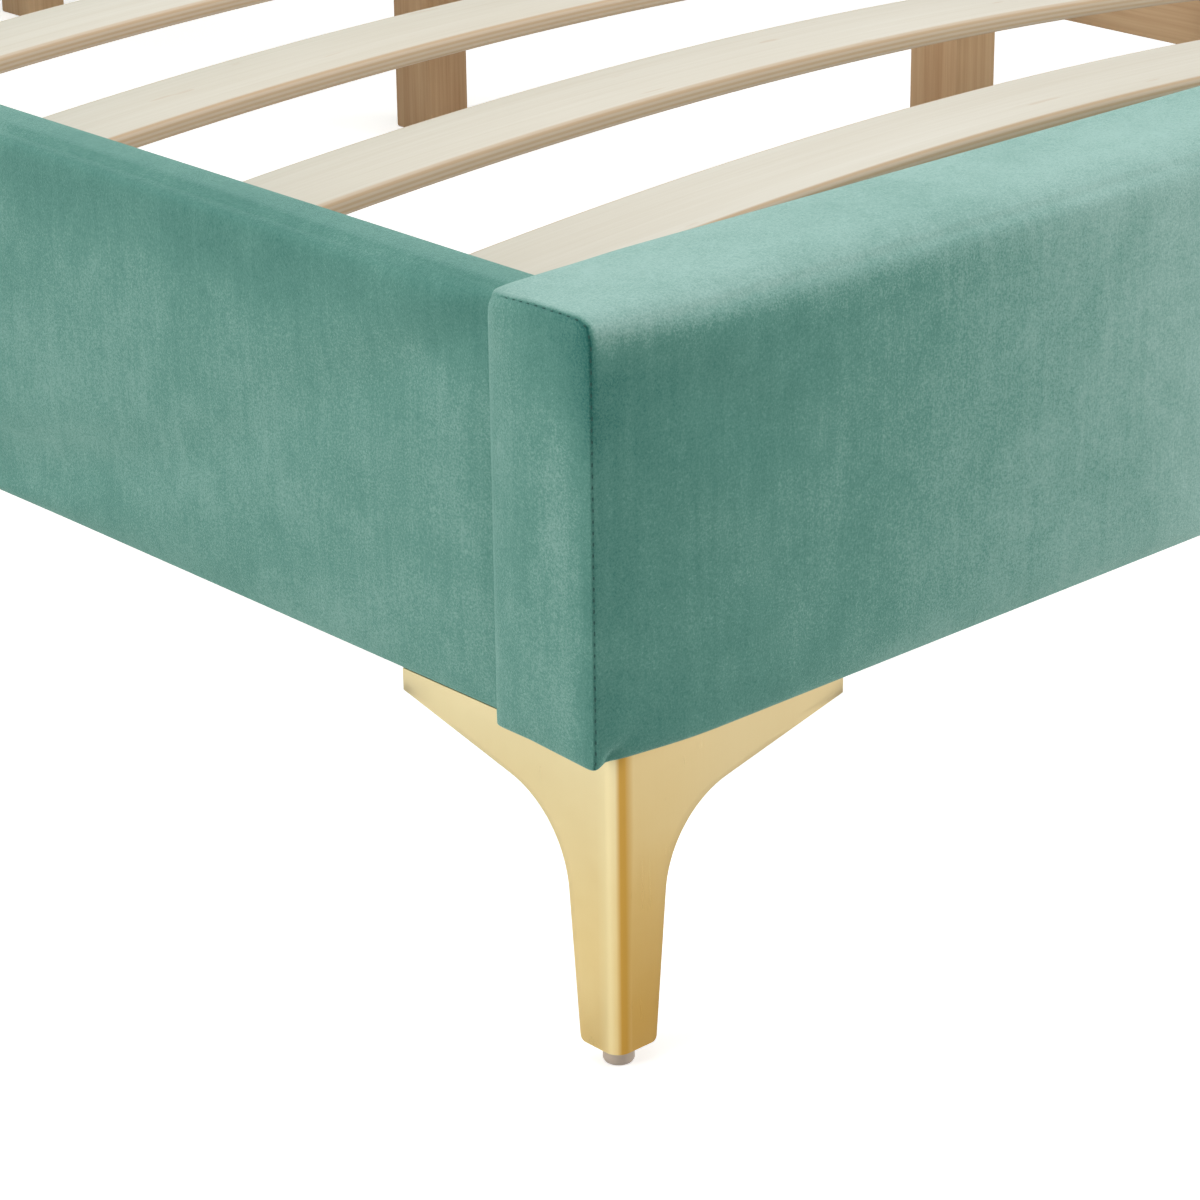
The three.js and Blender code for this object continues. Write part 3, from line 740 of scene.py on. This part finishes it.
def rail_cover(side, sign, velvet):
    """Velvet over a thin side rail, round-edged over the top, its ends hidden by the end panels."""
    node = f"side_rail_upholstery_{side}"
    low, high = corners(node)
    hollow = board_hollow(f"side_rail_board_{side}", low)
    hollow[0][1], hollow[1][1] = low[1] - 1, high[1] + 1
    extra = ((hollow[0][0], hollow[1][0]), (), (hollow[1][2],))
    steps = (PADDING_STEP, 1.4 * PADDING_STEP, PADDING_STEP)
    lines = [rows(low[i], high[i], steps[i], extra[i]) for i in range(3)]
    points, quads, outer = solid_skin(lines, hollow)
    start = points.copy()
    edge = partial(round_edge, points, outer, low, high)
    edge(XZ, (sign, 1), 9.5 * MM)
    edge(XZ, (-sign, 1), 8.5 * MM)
    edge(XZ, (sign, -1), 0.6 * MM)
    edge(XZ, (-sign, -1), 2 * MM)
    outside, inside = (high[0], low[0]) if sign > 0 else (low[0], high[0])
    points[start[:, 0] == outside, 0] += sign * 0.9 * MM
    piece = make_piece(f"side_rail_cover_{side}", points, quads, velvet, replaces=(node,))
    set_attribute(piece, "seam", np.zeros(len(start)))
    # painted shade: a darker band just below the rounded top edge
    under_top = (start[:, 2] - high[2]) / MM
    set_attribute(piece, "tone_and_painted_light", 0.55 - 0.17 * np.exp(-(((under_top + 14) / 20) ** 2)))

    ends = (start[:, 1] == low[1]) | (start[:, 1] == high[1])
    beside_slats = (start[:, 0] == inside) & (start[:, 2] < low[2] + 120 * MM)
    pinned = ~outer | ends | beside_slats | (start[:, 2] == low[2])
    cap = np.full(len(start), 0.8 * MM)
    cap[start[:, 0] == outside] = 3.6 * MM
    yield from blow_up(piece, outer, pinned, cap)
    smooth(piece, 60)


# ------------------------------------------------------------------ headboard

def headboard_cover(velvet, thread):
    """Upright sewn channels on the front, and a plain boxed strip round the sides and top."""
    node = "headboard_upholstery"
    low, high = corners(node)
    low = low + np.array([1.0, 9.0, 0]) * MM
    high = high - np.array([1.0, 0, 1.0]) * MM
    hollow = board_hollow("headboard_panel", low)
    hollow[1][1] = high[1] + 1
    seams = np.linspace(low[0], high[0], CHANNELS + 1)
    near = [s + d * MM for s in seams[1:-1] for d in (-8, -3.5, 0, 3.5, 8)]
    across = rows(low[0], high[0], 20 * MM, (hollow[0][0], hollow[1][0]))
    across = [x for x in across if np.min(np.abs(seams[1:-1] - x)) > 12 * MM]
    lines = [
        np.array(sorted([*across, *near])),
        rows(low[1], high[1], 12 * MM, (hollow[0][1],)),
        rows(low[2], high[2], 18 * MM, (hollow[1][2],)),
    ]
    points, quads, outer = solid_skin(lines, hollow)
    start = points.copy()
    edge = partial(round_edge, points, outer, low, high)
    for sign in (-1, 1):
        edge(XY, (sign, -1), 6 * MM)
        edge(XY, (sign, 1), 5 * MM)
        edge(XZ, (sign, 1), 12 * MM)
        edge(XZ, (sign, -1), 3 * MM)
    edge(YZ, (-1, 1), 6 * MM)
    edge(YZ, (1, 1), 5 * MM)
    edge(YZ, (-1, -1), 4 * MM)
    piece = make_piece("headboard_cover", points, quads, velvet, replaces=(node,))

    set_attribute(piece, "tone_and_painted_light", np.full(len(start), 0.56))
    front = start[:, 1] == low[1]
    nearest = np.abs(start[:, 0][:, None] - seams[None, 1:-1])
    channel = front & (nearest.min(axis=1) < 0.1 * MM)
    border = front & ((start[:, 0] == low[0]) | (start[:, 0] == high[0]) | (start[:, 2] == high[2]))
    set_attribute(piece, "seam", (channel | border).astype(float))
    mark_path(piece, "channel", channel, start[:, 2] + 10.0 * (1 + nearest.argmin(axis=1)))
    mark_path(piece, "border", border, border_order(start, low, high))
    pinned = ~outer | channel | border | (start[:, 2] == low[2]) | (start[:, 1] == high[1])
    cap = np.full(len(start), 1.5 * MM)
    cap[front] = 9 * MM
    yield from blow_up(piece, outer, pinned, cap)
    press_seam(piece, 1.4 * MM)
    smooth(piece, 180)

    paths = []
    points, ups = seam_path(piece, "channel")
    order = np.round(points[:, 0] * 1000 / ((high[0] - low[0]) * 1000 / CHANNELS))
    for value in np.unique(order):
        chosen = order == value
        paths.append((points[chosen], ups[chosen]))
    paths.append(seam_path(piece, "border"))
    stitches("headboard_seam_stitches", paths, thread)


def border_order(start, low, high):
    """How far each point is along the border, up one side, over the top and down the other."""
    rise = high[2] - low[2]
    width = high[0] - low[0]
    left = start[:, 2] - low[2]
    top = rise + start[:, 0] - low[0]
    right = rise + width + high[2] - start[:, 2]
    order = np.where(start[:, 2] == high[2], top, 0.0)
    order = np.where((start[:, 0] == low[0]) & (start[:, 2] < high[2]), left, order)
    return np.where((start[:, 0] == high[0]) & (start[:, 2] < high[2]), right, order)


# ------------------------------------------------------------------ wood

def wood_coordinates(piece, values):
    attribute = piece.data.attributes.new("wood", "FLOAT_VECTOR", "POINT")
    attribute.data.foreach_set("vector", np.ascontiguousarray(values, float).ravel())


def slat(name, index, material):
    """One arched slat: a rounded strip swept along its arc."""
    low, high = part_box(name)
    length = high.x - low.x
    width = high.y - low.y
    thickness = SLAT_THICKNESS
    rise = high.z - low.z - thickness
    radius = length**2 / (8 * rise) + rise / 2
    outer = radius + thickness
    half = math.asin(length / 2 / outer)
    steps, corner_steps = 40, 4
    corner = SLAT_EDGE_RADIUS
    section = []
    for cy, cz, first in ((1, 1, 0), (-1, 1, 90), (-1, -1, 180), (1, -1, 270)):
        for k in range(corner_steps + 1):
            angle = math.radians(first + 90 * k / corner_steps)
            y = cy * (width / 2 - corner) + corner * math.cos(angle)
            z = cz * (thickness / 2 - corner) + corner * math.sin(angle)
            section.append((y, z))
    count = len(section)
    random = np.random.default_rng(100 + index)
    shift = random.uniform(-3, 3, 3)
    vertices, grain = [], []
    centre = Vector(((low.x + high.x) / 2, (low.y + high.y) / 2, high.z - outer))
    for i in range(steps + 1):
        angle = -half + 2 * half * i / steps
        for y, z in section:
            reach = outer - thickness / 2 + z
            vertices.append(centre + Vector((reach * math.sin(angle), y, reach * math.cos(angle))))
            grain.append((angle * outer + shift[0], y + shift[1], z + thickness * index * 10))
    faces = ring_faces(steps + 1, count)
    faces.append(tuple(range(count)))
    faces.append(tuple(range(steps * count, (steps + 1) * count))[::-1])
    piece = make_piece(name + "_strip", vertices, faces, material, replaces=(name,))
    wood_coordinates(piece, grain)
    edge = [1.0 if abs(abs(y) - width / 2) < corner * 0.75 else 0.0 for y, z in section] * (steps + 1)
    set_attribute(piece, "edge", edge)
    smooth(piece, 40)


def plank(node, material, along, edge_radius, index):
    """A planed timber with eased edges, its grain along one axis."""
    low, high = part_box(node)
    points = [(x, y, z) for x in (low.x, high.x) for y in (low.y, high.y) for z in (low.z, high.z)]
    faces = [(0, 1, 3, 2), (4, 6, 7, 5), (0, 4, 5, 1), (2, 3, 7, 6), (0, 2, 6, 4), (1, 5, 7, 3)]
    piece = make_piece(node + "_timber", points, faces, material, replaces=(node,))
    bevel(piece, edge_radius, 3)
    points = coordinates(piece)
    order = {"x": (0, 1, 2), "y": (1, 0, 2), "z": (2, 0, 1)}[along]
    shift = np.random.default_rng(500 + index).uniform(-3, 3, 3)
    wood_coordinates(piece, points[:, order] + shift)


def make_wood(birch, pine):
    names = sorted(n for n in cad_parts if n.startswith(("slat_left_", "slat_right_")))
    for index, name in enumerate(names):
        slat(name, index, birch)
    sides = ("left", "right")
    timbers = [("centre_beam", "y")] + [(f"centre_leg_{number}", "z") for number in (1, 2, 3)]
    timbers += [(f"{name}_{side}", "y") for name in ("slat_ledger", "side_rail_board") for side in sides]
    timbers += [("footboard_board", "x")] + [(f"headboard_post_{side}", "z") for side in sides]
    timbers += [(f"headboard_{place}_rail", "x") for place in ("bottom", "middle", "top")]
    for index, (node, along) in enumerate(timbers):
        radius = 0.4 * MM if node.startswith(("side_rail", "footboard")) else 1.5 * MM
        plank(node, pine, along, radius, index)
    plank("headboard_panel", birch, "z", 0.5 * MM, 40)


# ------------------------------------------------------------------ corner legs

def arc_between(before, corner, after, radius, steps):
    """Points of a rounded corner between two straight lines."""
    at, back, ahead = Vector(corner), Vector(before), Vector(after)
    back = (back - at).normalized()
    ahead = (ahead - at).normalized()
    half = math.acos(back.dot(ahead)) / 2
    reach = radius / math.tan(half)
    centre = at + (back + ahead).normalized() * (radius / math.sin(half))
    first, last = at + back * reach - centre, at + ahead * reach - centre
    turn = first.angle_signed(last)
    points = []
    for k in range(steps + 1):
        spin = Matrix.Rotation(-turn * k / steps, 2)
        points.append(centre + spin @ first)
    return points


def wing_outline(height, wing):
    """Half of the unfolded leg, from its foot to its top: distance from the fold, and height."""
    foot, waist, end = (20 * MM, 8 * MM), (27.8 * MM, height - 30.5 * MM), (wing, height - 9 * MM)
    outline = arc_between((0, 8 * MM), foot, waist, 2.5 * MM, 5)
    outline += arc_between(foot, waist, end, 41 * MM, 18)
    first = outline[-1]
    for k in range(1, 7):
        outline.append(first.lerp(Vector(end), k / 6))
    outline.append(Vector((wing, height)))
    return outline


def folded(distance, inset, bend):
    """Where a point of the flat sheet lies once folded: across X and Y, inset from the outer face."""
    arc = bend * math.pi / 2
    flat = abs(distance) - arc / 2
    if flat <= 0:
        angle = math.pi * 1.25 + distance / bend
        return bend + (bend - inset) * math.cos(angle), bend + (bend - inset) * math.sin(angle)
    if distance > 0:
        return bend + flat, inset
    return inset, bend + flat


def leg_sheet(height, wing, bend):
    """The folded sheet: an outer and an inner skin joined round their edges."""
    arc = bend * math.pi / 2
    offset = bend - arc / 2  # a wing measures this much less along the sheet than from its corner
    columns = [arc / 2 * k / 6 for k in range(7)]
    outline = wing_outline(height, wing)
    vertices, faces = [], []
    count = 2 * (len(columns) + 6) - 1
    for inset in (0.0, LEG_SHEET):
        for point in outline:
            limit = point.x - offset
            positions = columns + [arc / 2 + (limit - arc / 2) * k / 6 for k in range(1, 7)]
            for s in [-p for p in reversed(positions[1:])] + positions:
                x, y = folded(s, inset, bend)
                vertices.append((x, y, point.y))
    size = count * len(outline)
    for i in range(len(outline) - 1):
        for j in range(count - 1):
            a = i * count + j
            faces.append((a, a + 1, a + count + 1, a + count))
            faces.append((a + size, a + size + count, a + size + count + 1, a + size + 1))
        for j in (0, count - 1):
            a = i * count + j
            faces.append((a, a + count, a + count + size, a + size))
    last = (len(outline) - 1) * count
    for j in range(count - 1):
        faces.append((j, j + size, j + size + 1, j + 1))
        faces.append((last + j, last + j + 1, last + j + 1 + size, last + j + size))
    return vertices, faces


def prism(outline, bottom, top):
    """An upright solid from a flat outline."""
    count = len(outline)
    vertices = [(x, y, bottom) for x, y in outline] + [(x, y, top) for x, y in outline]
    faces = [tuple(range(count))[::-1], tuple(range(count, 2 * count))]
    return vertices, faces + ring_faces(2, count)


def joined(parts):
    vertices, faces = [], []
    for part_vertices, part_faces in parts:
        base = len(vertices)
        vertices += part_vertices
        faces += [tuple(i + base for i in face) for face in part_faces]
    return vertices, faces


def screw_head(x, y, z, radius, direction):
    """A pan head with a cross recess, its dome towards direction along Z."""
    sides = 24
    profile = [(0.55, 0.95), (0.85, 0.7), (1.0, 0.3), (1.0, 0.0)]
    vertices = []
    for r, h in profile:
        for k in range(sides):
            angle = 2 * math.pi * k / sides
            slot = 0.45 if r < 0.6 and k % 6 == 0 else 0.0
            vertices.append((
                x + radius * r * math.cos(angle),
                y + radius * r * math.sin(angle),
                z + direction * radius * 0.55 * (h - slot),
            ))
    faces = ring_faces(len(profile), sides)
    vertices.append((x, y, z + direction * radius * 0.25))
    top = len(vertices) - 1
    faces += [(top, (k + 1) % sides, k) for k in range(sides)]
    last = (len(profile) - 1) * sides
    faces.append(tuple(last + k for k in range(sides)))
    return vertices, faces


def corner_leg(end, side, gold, zinc, glide_plastic):
    node = f"corner_leg_{end}_{side}"
    low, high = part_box(node)
    wing = high.x - low.x
    flip_x = -1 if side == "right" else 1
    flip_y = -1 if end == "head" else 1
    origin = Vector((high.x if flip_x < 0 else low.x, high.y if flip_y < 0 else low.y, 0))

    def placed(part):
        vertices, faces = part
        return [(origin.x + flip_x * x, origin.y + flip_y * y, z) for x, y, z in vertices], faces

    sheet = leg_sheet(high.z, wing, 6 * MM)
    inner = LEG_SHEET * 0.8
    short = 45 * MM
    reach = wing - 0.2 * MM
    plate = [(inner, inner), (reach, inner), (reach, short), (short, reach), (inner, reach)]
    top_plate = prism(plate, high.z - 3 * MM, high.z - 0.05 * MM)
    edge = 19 * MM
    foot = [(inner + 2 * MM, inner), (edge, inner), (edge, edge), (inner, edge), (inner, inner + 2 * MM)]
    foot_plate = prism(foot, 9 * MM, 12 * MM)
    vertices, faces = placed(joined([sheet, top_plate, foot_plate]))
    piece = make_piece(f"gold_leg_{end}_{side}", vertices, faces, gold, replaces=(node,))
    bevel(piece, 0.35 * MM, 2, 50)
    points = coordinates(piece)
    # distance past the fold and height, which place the gold's painted shade band and painted highlights
    set_attribute(piece, "across", flip_x * (points[:, 0] - origin.x) - flip_y * (points[:, 1] - origin.y))
    set_attribute(piece, "up", points[:, 2])

    heads = []
    for along in (wing - 45 * MM, wing - 13 * MM):
        heads.append(screw_head(along, 12 * MM, high.z - 3 * MM, 5.5 * MM, -1))
        heads.append(screw_head(12 * MM, along, high.z - 3 * MM, 5.5 * MM, -1))
    vertices, faces = placed(joined(heads))
    screws = make_piece(f"leg_screws_{end}_{side}", vertices, faces, zinc)
    smooth(screws, 40)
    levelling_glide(end, side, glide_plastic, zinc)


def levelling_glide(end, side, plastic, zinc):
    """A moulded pad with a soft rim, and its threaded stem."""
    node = f"levelling_glide_{end}_{side}"
    low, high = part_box(node)
    cx, cy = (low.x + high.x) / 2, (low.y + high.y) / 2
    radius = (high.x - low.x) / 2
    pad_top = 8.7 * MM
    pad = [(0, 0), (radius - 1.3 * MM, 0), (radius - 0.5 * MM, 0.35 * MM), (radius, 1.3 * MM)]
    pad += [(radius, pad_top - 0.7 * MM), (radius - 0.7 * MM, pad_top), (3 * MM, pad_top)]
    stem = [(3 * MM, pad_top)]
    z = pad_top + 0.5 * MM
    while z < high.z - 1.5 * MM:
        stem += [(2.6 * MM, z), (3 * MM, z + 0.5 * MM)]
        z += 1 * MM
    stem += [(2.4 * MM, high.z - 0.5 * MM), (0, high.z)]
    profile = pad + stem[1:]
    sides = 40
    vertices = [(cx, cy, 0.0)]
    for r, h in profile[1:-1]:
        for k in range(sides):
            angle = 2 * math.pi * k / sides
            vertices.append((cx + r * math.cos(angle), cy + r * math.sin(angle), h))
    vertices.append((cx, cy, profile[-1][1]))
    rings = len(profile) - 2
    last = 1 + (rings - 1) * sides
    faces = [(0, 1 + (k + 1) % sides, 1 + k) for k in range(sides)]
    faces += ring_faces(rings, sides, 1)
    faces += [(last + k, last + (k + 1) % sides, len(vertices) - 1) for k in range(sides)]
    metal = [number // sides > len(pad) - 2 for number in range(len(faces))]
    piece = make_piece(
        f"glide_{end}_{side}", vertices, faces, plastic, f"glide_{end}_{side}", (node,)
    )
    piece.data.materials.append(zinc)
    for polygon, is_metal in zip(piece.data.polygons, metal):
        polygon.material_index = int(is_metal)
    smooth(piece, 40)


# ------------------------------------------------------------------ back cloth and hardware

def back_cloth(material, zinc):
    """Thin cloth stapled over the back of the headboard, slack between the frame's timbers."""
    node = "headboard_back_cloth"
    low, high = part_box(node)
    thickness = 1.0 * MM
    columns, upright = 84, 52
    xs = np.linspace(low.x, high.x, columns + 1)
    zs = np.linspace(low.z, high.z, upright + 1)
    rails = [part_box(f"headboard_{name}_rail") for name in ("bottom", "middle", "top")]
    posts = [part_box(f"headboard_post_{side}") for side in ("left", "right")]

    def slack(x, z):
        """How far the cloth falls into the space between the timbers, 0 over a timber."""
        across = min(x - posts[0][1].x, posts[1][0].x - x)
        if across <= 0:
            return 0.0
        for below, above in zip(rails, rails[1:]):
            if below[1].z < z < above[0].z:
                up = min(z - below[1].z, above[0].z - z)
                depth = 1 - math.exp(-across / 0.09)
                return 3.2 * MM * depth * (1 - math.exp(-up / 0.07))
        return 0.0

    vertices = []
    for layer in (0.0, thickness):
        for z in zs:
            for x in xs:
                ripple = 0.25 * MM * math.sin(x * 41) * math.sin(z * 33 + 1)
                vertices.append((x, low.y + 0.4 * MM + layer - slack(x, z) + ripple, z))
    row, size = columns + 1, (columns + 1) * (upright + 1)
    faces = []
    for i in range(upright):
        for j in range(columns):
            a = i * row + j
            faces.append((a, a + 1, a + row + 1, a + row))
            faces.append((a + size, a + size + row, a + size + row + 1, a + size + 1))
    rim = [j for j in range(columns)] + [i * row + columns for i in range(upright)]
    rim += [upright * row + j for j in range(columns, 0, -1)] + [i * row for i in range(upright, 0, -1)]
    for k, a in enumerate(rim):
        b = rim[(k + 1) % len(rim)]
        faces.append((a, a + size, b + size, b))
    piece = make_piece("back_cloth", vertices, faces, material, replaces=(node,))
    smooth(piece, 60)
    staples(low, high, low.y + 0.4 * MM + thickness, zinc)


def staples(low, high, face, material):
    """A row of wire staples round the cloth, 10 mm in from its edge."""
    inset, pitch, width, wire = 10 * MM, 45 * MM, 9 * MM, 0.5 * MM
    random = np.random.default_rng(5)
    places = []
    for x in np.arange(low.x + 2 * inset, high.x - inset, pitch):
        places += [(x, low.z + inset, 0.0), (x, high.z - inset, 0.0)]
    for z in np.arange(low.z + 2 * inset, high.z - 2 * inset, pitch):
        places += [(low.x + inset, z, math.pi / 2), (high.x - inset, z, math.pi / 2)]
    parts = []
    for x, z, turn in places:
        turn += random.normal(0, 0.12)
        c, s = math.cos(turn), math.sin(turn)
        bar = [(-width / 2, 0), (-width / 2 + wire, wire), (width / 2 - wire, wire), (width / 2, 0)]
        vertices = []
        for u, h in bar:
            for v, lift in ((-wire / 2, 0), (wire / 2, 0), (wire / 2, wire), (-wire / 2, wire)):
                vertices.append((x + c * u - s * v, face + h - wire + lift, z + s * u + c * v))
        parts.append((vertices, ring_faces(len(bar), 4) + [(0, 1, 2, 3), (15, 14, 13, 12)]))
    vertices, faces = joined(parts)
    make_piece("back_staples", vertices, faces, material)


def hex_bolt(centre, axis, radius):
    """A hexagon head on a thin washer, facing along an axis."""
    axis = Vector(axis).normalized()
    side = Vector((0, 0, 1)).cross(axis).normalized()
    up = axis.cross(side)
    parts = []
    for sides, spread, base, top, chamfer in ((32, 1.5, 0.0, 0.18, 0.05), (6, 1.0, 0.18, 0.95, 0.14)):
        vertices = []
        for r, h in ((spread, base), (spread, top - chamfer), (spread - chamfer, top)):
            for k in range(sides):
                angle = 2 * math.pi * k / sides
                offset = side * math.cos(angle) + up * math.sin(angle)
                vertices.append(tuple(Vector(centre) + offset * radius * r + axis * radius * h))
        ends = [tuple(range(sides))[::-1], tuple(range(2 * sides, 3 * sides))]
        parts.append((vertices, ring_faces(3, sides) + ends))
    return joined(parts)


def bracket_bolts(material):
    """Bolt heads at the holes of the corner brackets."""
    parts = []
    for end, along in (("foot", 1), ("head", -1)):
        for side, across in (("left", 1), ("right", -1)):
            low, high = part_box(f"corner_bracket_{end}_{side}")
            corner = (low.x if across > 0 else high.x, low.y if along > 0 else high.y)
            middle = 27 * MM
            for z in (low.z + 22 * MM, high.z - 22 * MM):
                at = (corner[0] + across * middle, corner[1] + along * 4.05 * MM, z)
                parts.append(hex_bolt(at, (0, along, 0), 6.5 * MM))
                at = (corner[0] + across * 4.05 * MM, corner[1] + along * middle, z)
                parts.append(hex_bolt(at, (across, 0, 0), 6.5 * MM))
    vertices, faces = joined(parts)
    piece = make_piece("bracket_bolts", vertices, faces, material)
    smooth(piece, 30)


# ------------------------------------------------------------------ stage

def make_stage():
    """A wide pale floor, lighter to the camera than to the bed, a soft sky and three soft lights."""
    mesh = bpy.data.meshes.new("floor")
    half = 40.0  # metres, so that its edge lies far off
    floor_corners = [(-half, -half, 0), (half, -half, 0), (half, half, 0), (-half, half, 0)]
    mesh.from_pydata(floor_corners, [], [(0, 1, 2, 3)])
    floor = bpy.data.objects.new("floor", mesh)
    n = Nodes("floor_paper")
    seen = n.add("ShaderNodeLightPath").outputs["Is Camera Ray"]
    cloud = n.noise(n.place(), 3.0, 2.0)
    dull = n.mix(cloud, rgb(216, 214, 209), rgb(220, 218, 214))
    n.set(
        Base_Color=n.mix(seen, dull, rgb(240, 240, 240)),
        Roughness=0.9,
        Specular_IOR_Level=0.1,
        Emission_Color=(1, 1, 1, 1),
        Emission_Strength=n.spread(seen, 0.0, 1.0, 0.1, 0.5),
    )
    mesh.materials.append(n.material)
    bpy.context.collection.objects.link(floor)

    world = bpy.data.worlds.new("studio")
    world.use_nodes = True
    tree = world.node_tree
    direction = tree.nodes.new("ShaderNodeTexCoord").outputs["Generated"]
    turned = tree.nodes.new("ShaderNodeVectorMath")
    turned.operation = "DOT_PRODUCT"
    turned.inputs[1].default_value = (-0.7, 0.7, 0.0)
    tree.links.new(direction, turned.inputs[0])
    ramp = tree.nodes.new("ShaderNodeMapRange")
    for key, value in (("From Min", -0.8), ("From Max", 0.8), ("To Min", 0.26), ("To Max", 0.56)):
        ramp.inputs[key].default_value = value
    tree.links.new(turned.outputs["Value"], ramp.inputs["Value"])
    tree.nodes["Background"].inputs["Color"].default_value = (1, 1, 1, 1)
    tree.links.new(ramp.outputs[0], tree.nodes["Background"].inputs["Strength"])
    bpy.context.scene.world = world

    add_light("top_light", (-0.6, -0.2, 3.4), (-0.2, 0, 0), size=3.0, power=60)
    add_light("left_light", (-3.6, -0.4, 1.6), (-0.6, -0.8, 0.2), size=2.0, power=44)
    right = add_light("right_light", (2.2, -3.2, 1.5), (0.1, -1.0, 0.2), size=1.6, power=84)
    right.visible_glossy = False
    bpy.context.scene.view_settings.view_transform = "Standard"


def add_light(name, place, target, size, power):
    data = bpy.data.lights.new(name, "AREA")
    data.size = size
    data.energy = power
    light = bpy.data.objects.new(name, data)
    light.location = place
    light.rotation_euler = (Vector(target) - Vector(place)).to_track_quat("-Z", "Y").to_euler()
    bpy.context.collection.objects.link(light)
    return light


# ------------------------------------------------------------------ the bed

def make_bed():
    velvet = velvet_material()
    thread = thread_material()
    pale, dark, edge = rgb(223, 218, 205), rgb(205, 196, 177), rgb(192, 162, 128)
    birch = wood_material("birch_ply", pale, dark, edge, ply=True, grain=0.6)
    pine = wood_material("pine", rgb(206, 174, 136), rgb(168, 130, 92), rgb(116, 82, 54), ply=False)
    gold = gold_material()
    steel = steel_material()
    zinc = zinc_material()
    glide_plastic = glide_material()
    cloth = back_cloth_material()

    covers = [
        footboard_cover(velvet, thread),
        rail_cover("left", -1, velvet),
        rail_cover("right", 1, velvet),
        headboard_cover(velvet, thread),
    ]
    for cover in covers:
        next(cover, None)
    run_cloth()
    for cover in covers:
        next(cover, None)
    make_wood(birch, pine)
    for end in ("foot", "head"):
        for side in ("left", "right"):
            corner_leg(end, side, gold, zinc, glide_plastic)
    back_cloth(cloth, zinc)
    bracket_bolts(zinc)
    for name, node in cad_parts.items():
        if name.startswith(("corner_bracket", "beam_hanger")):
            for slot in node.material_slots:
                slot.link = "OBJECT"
                slot.material = steel


add_camera()
make_stage()
make_bed()
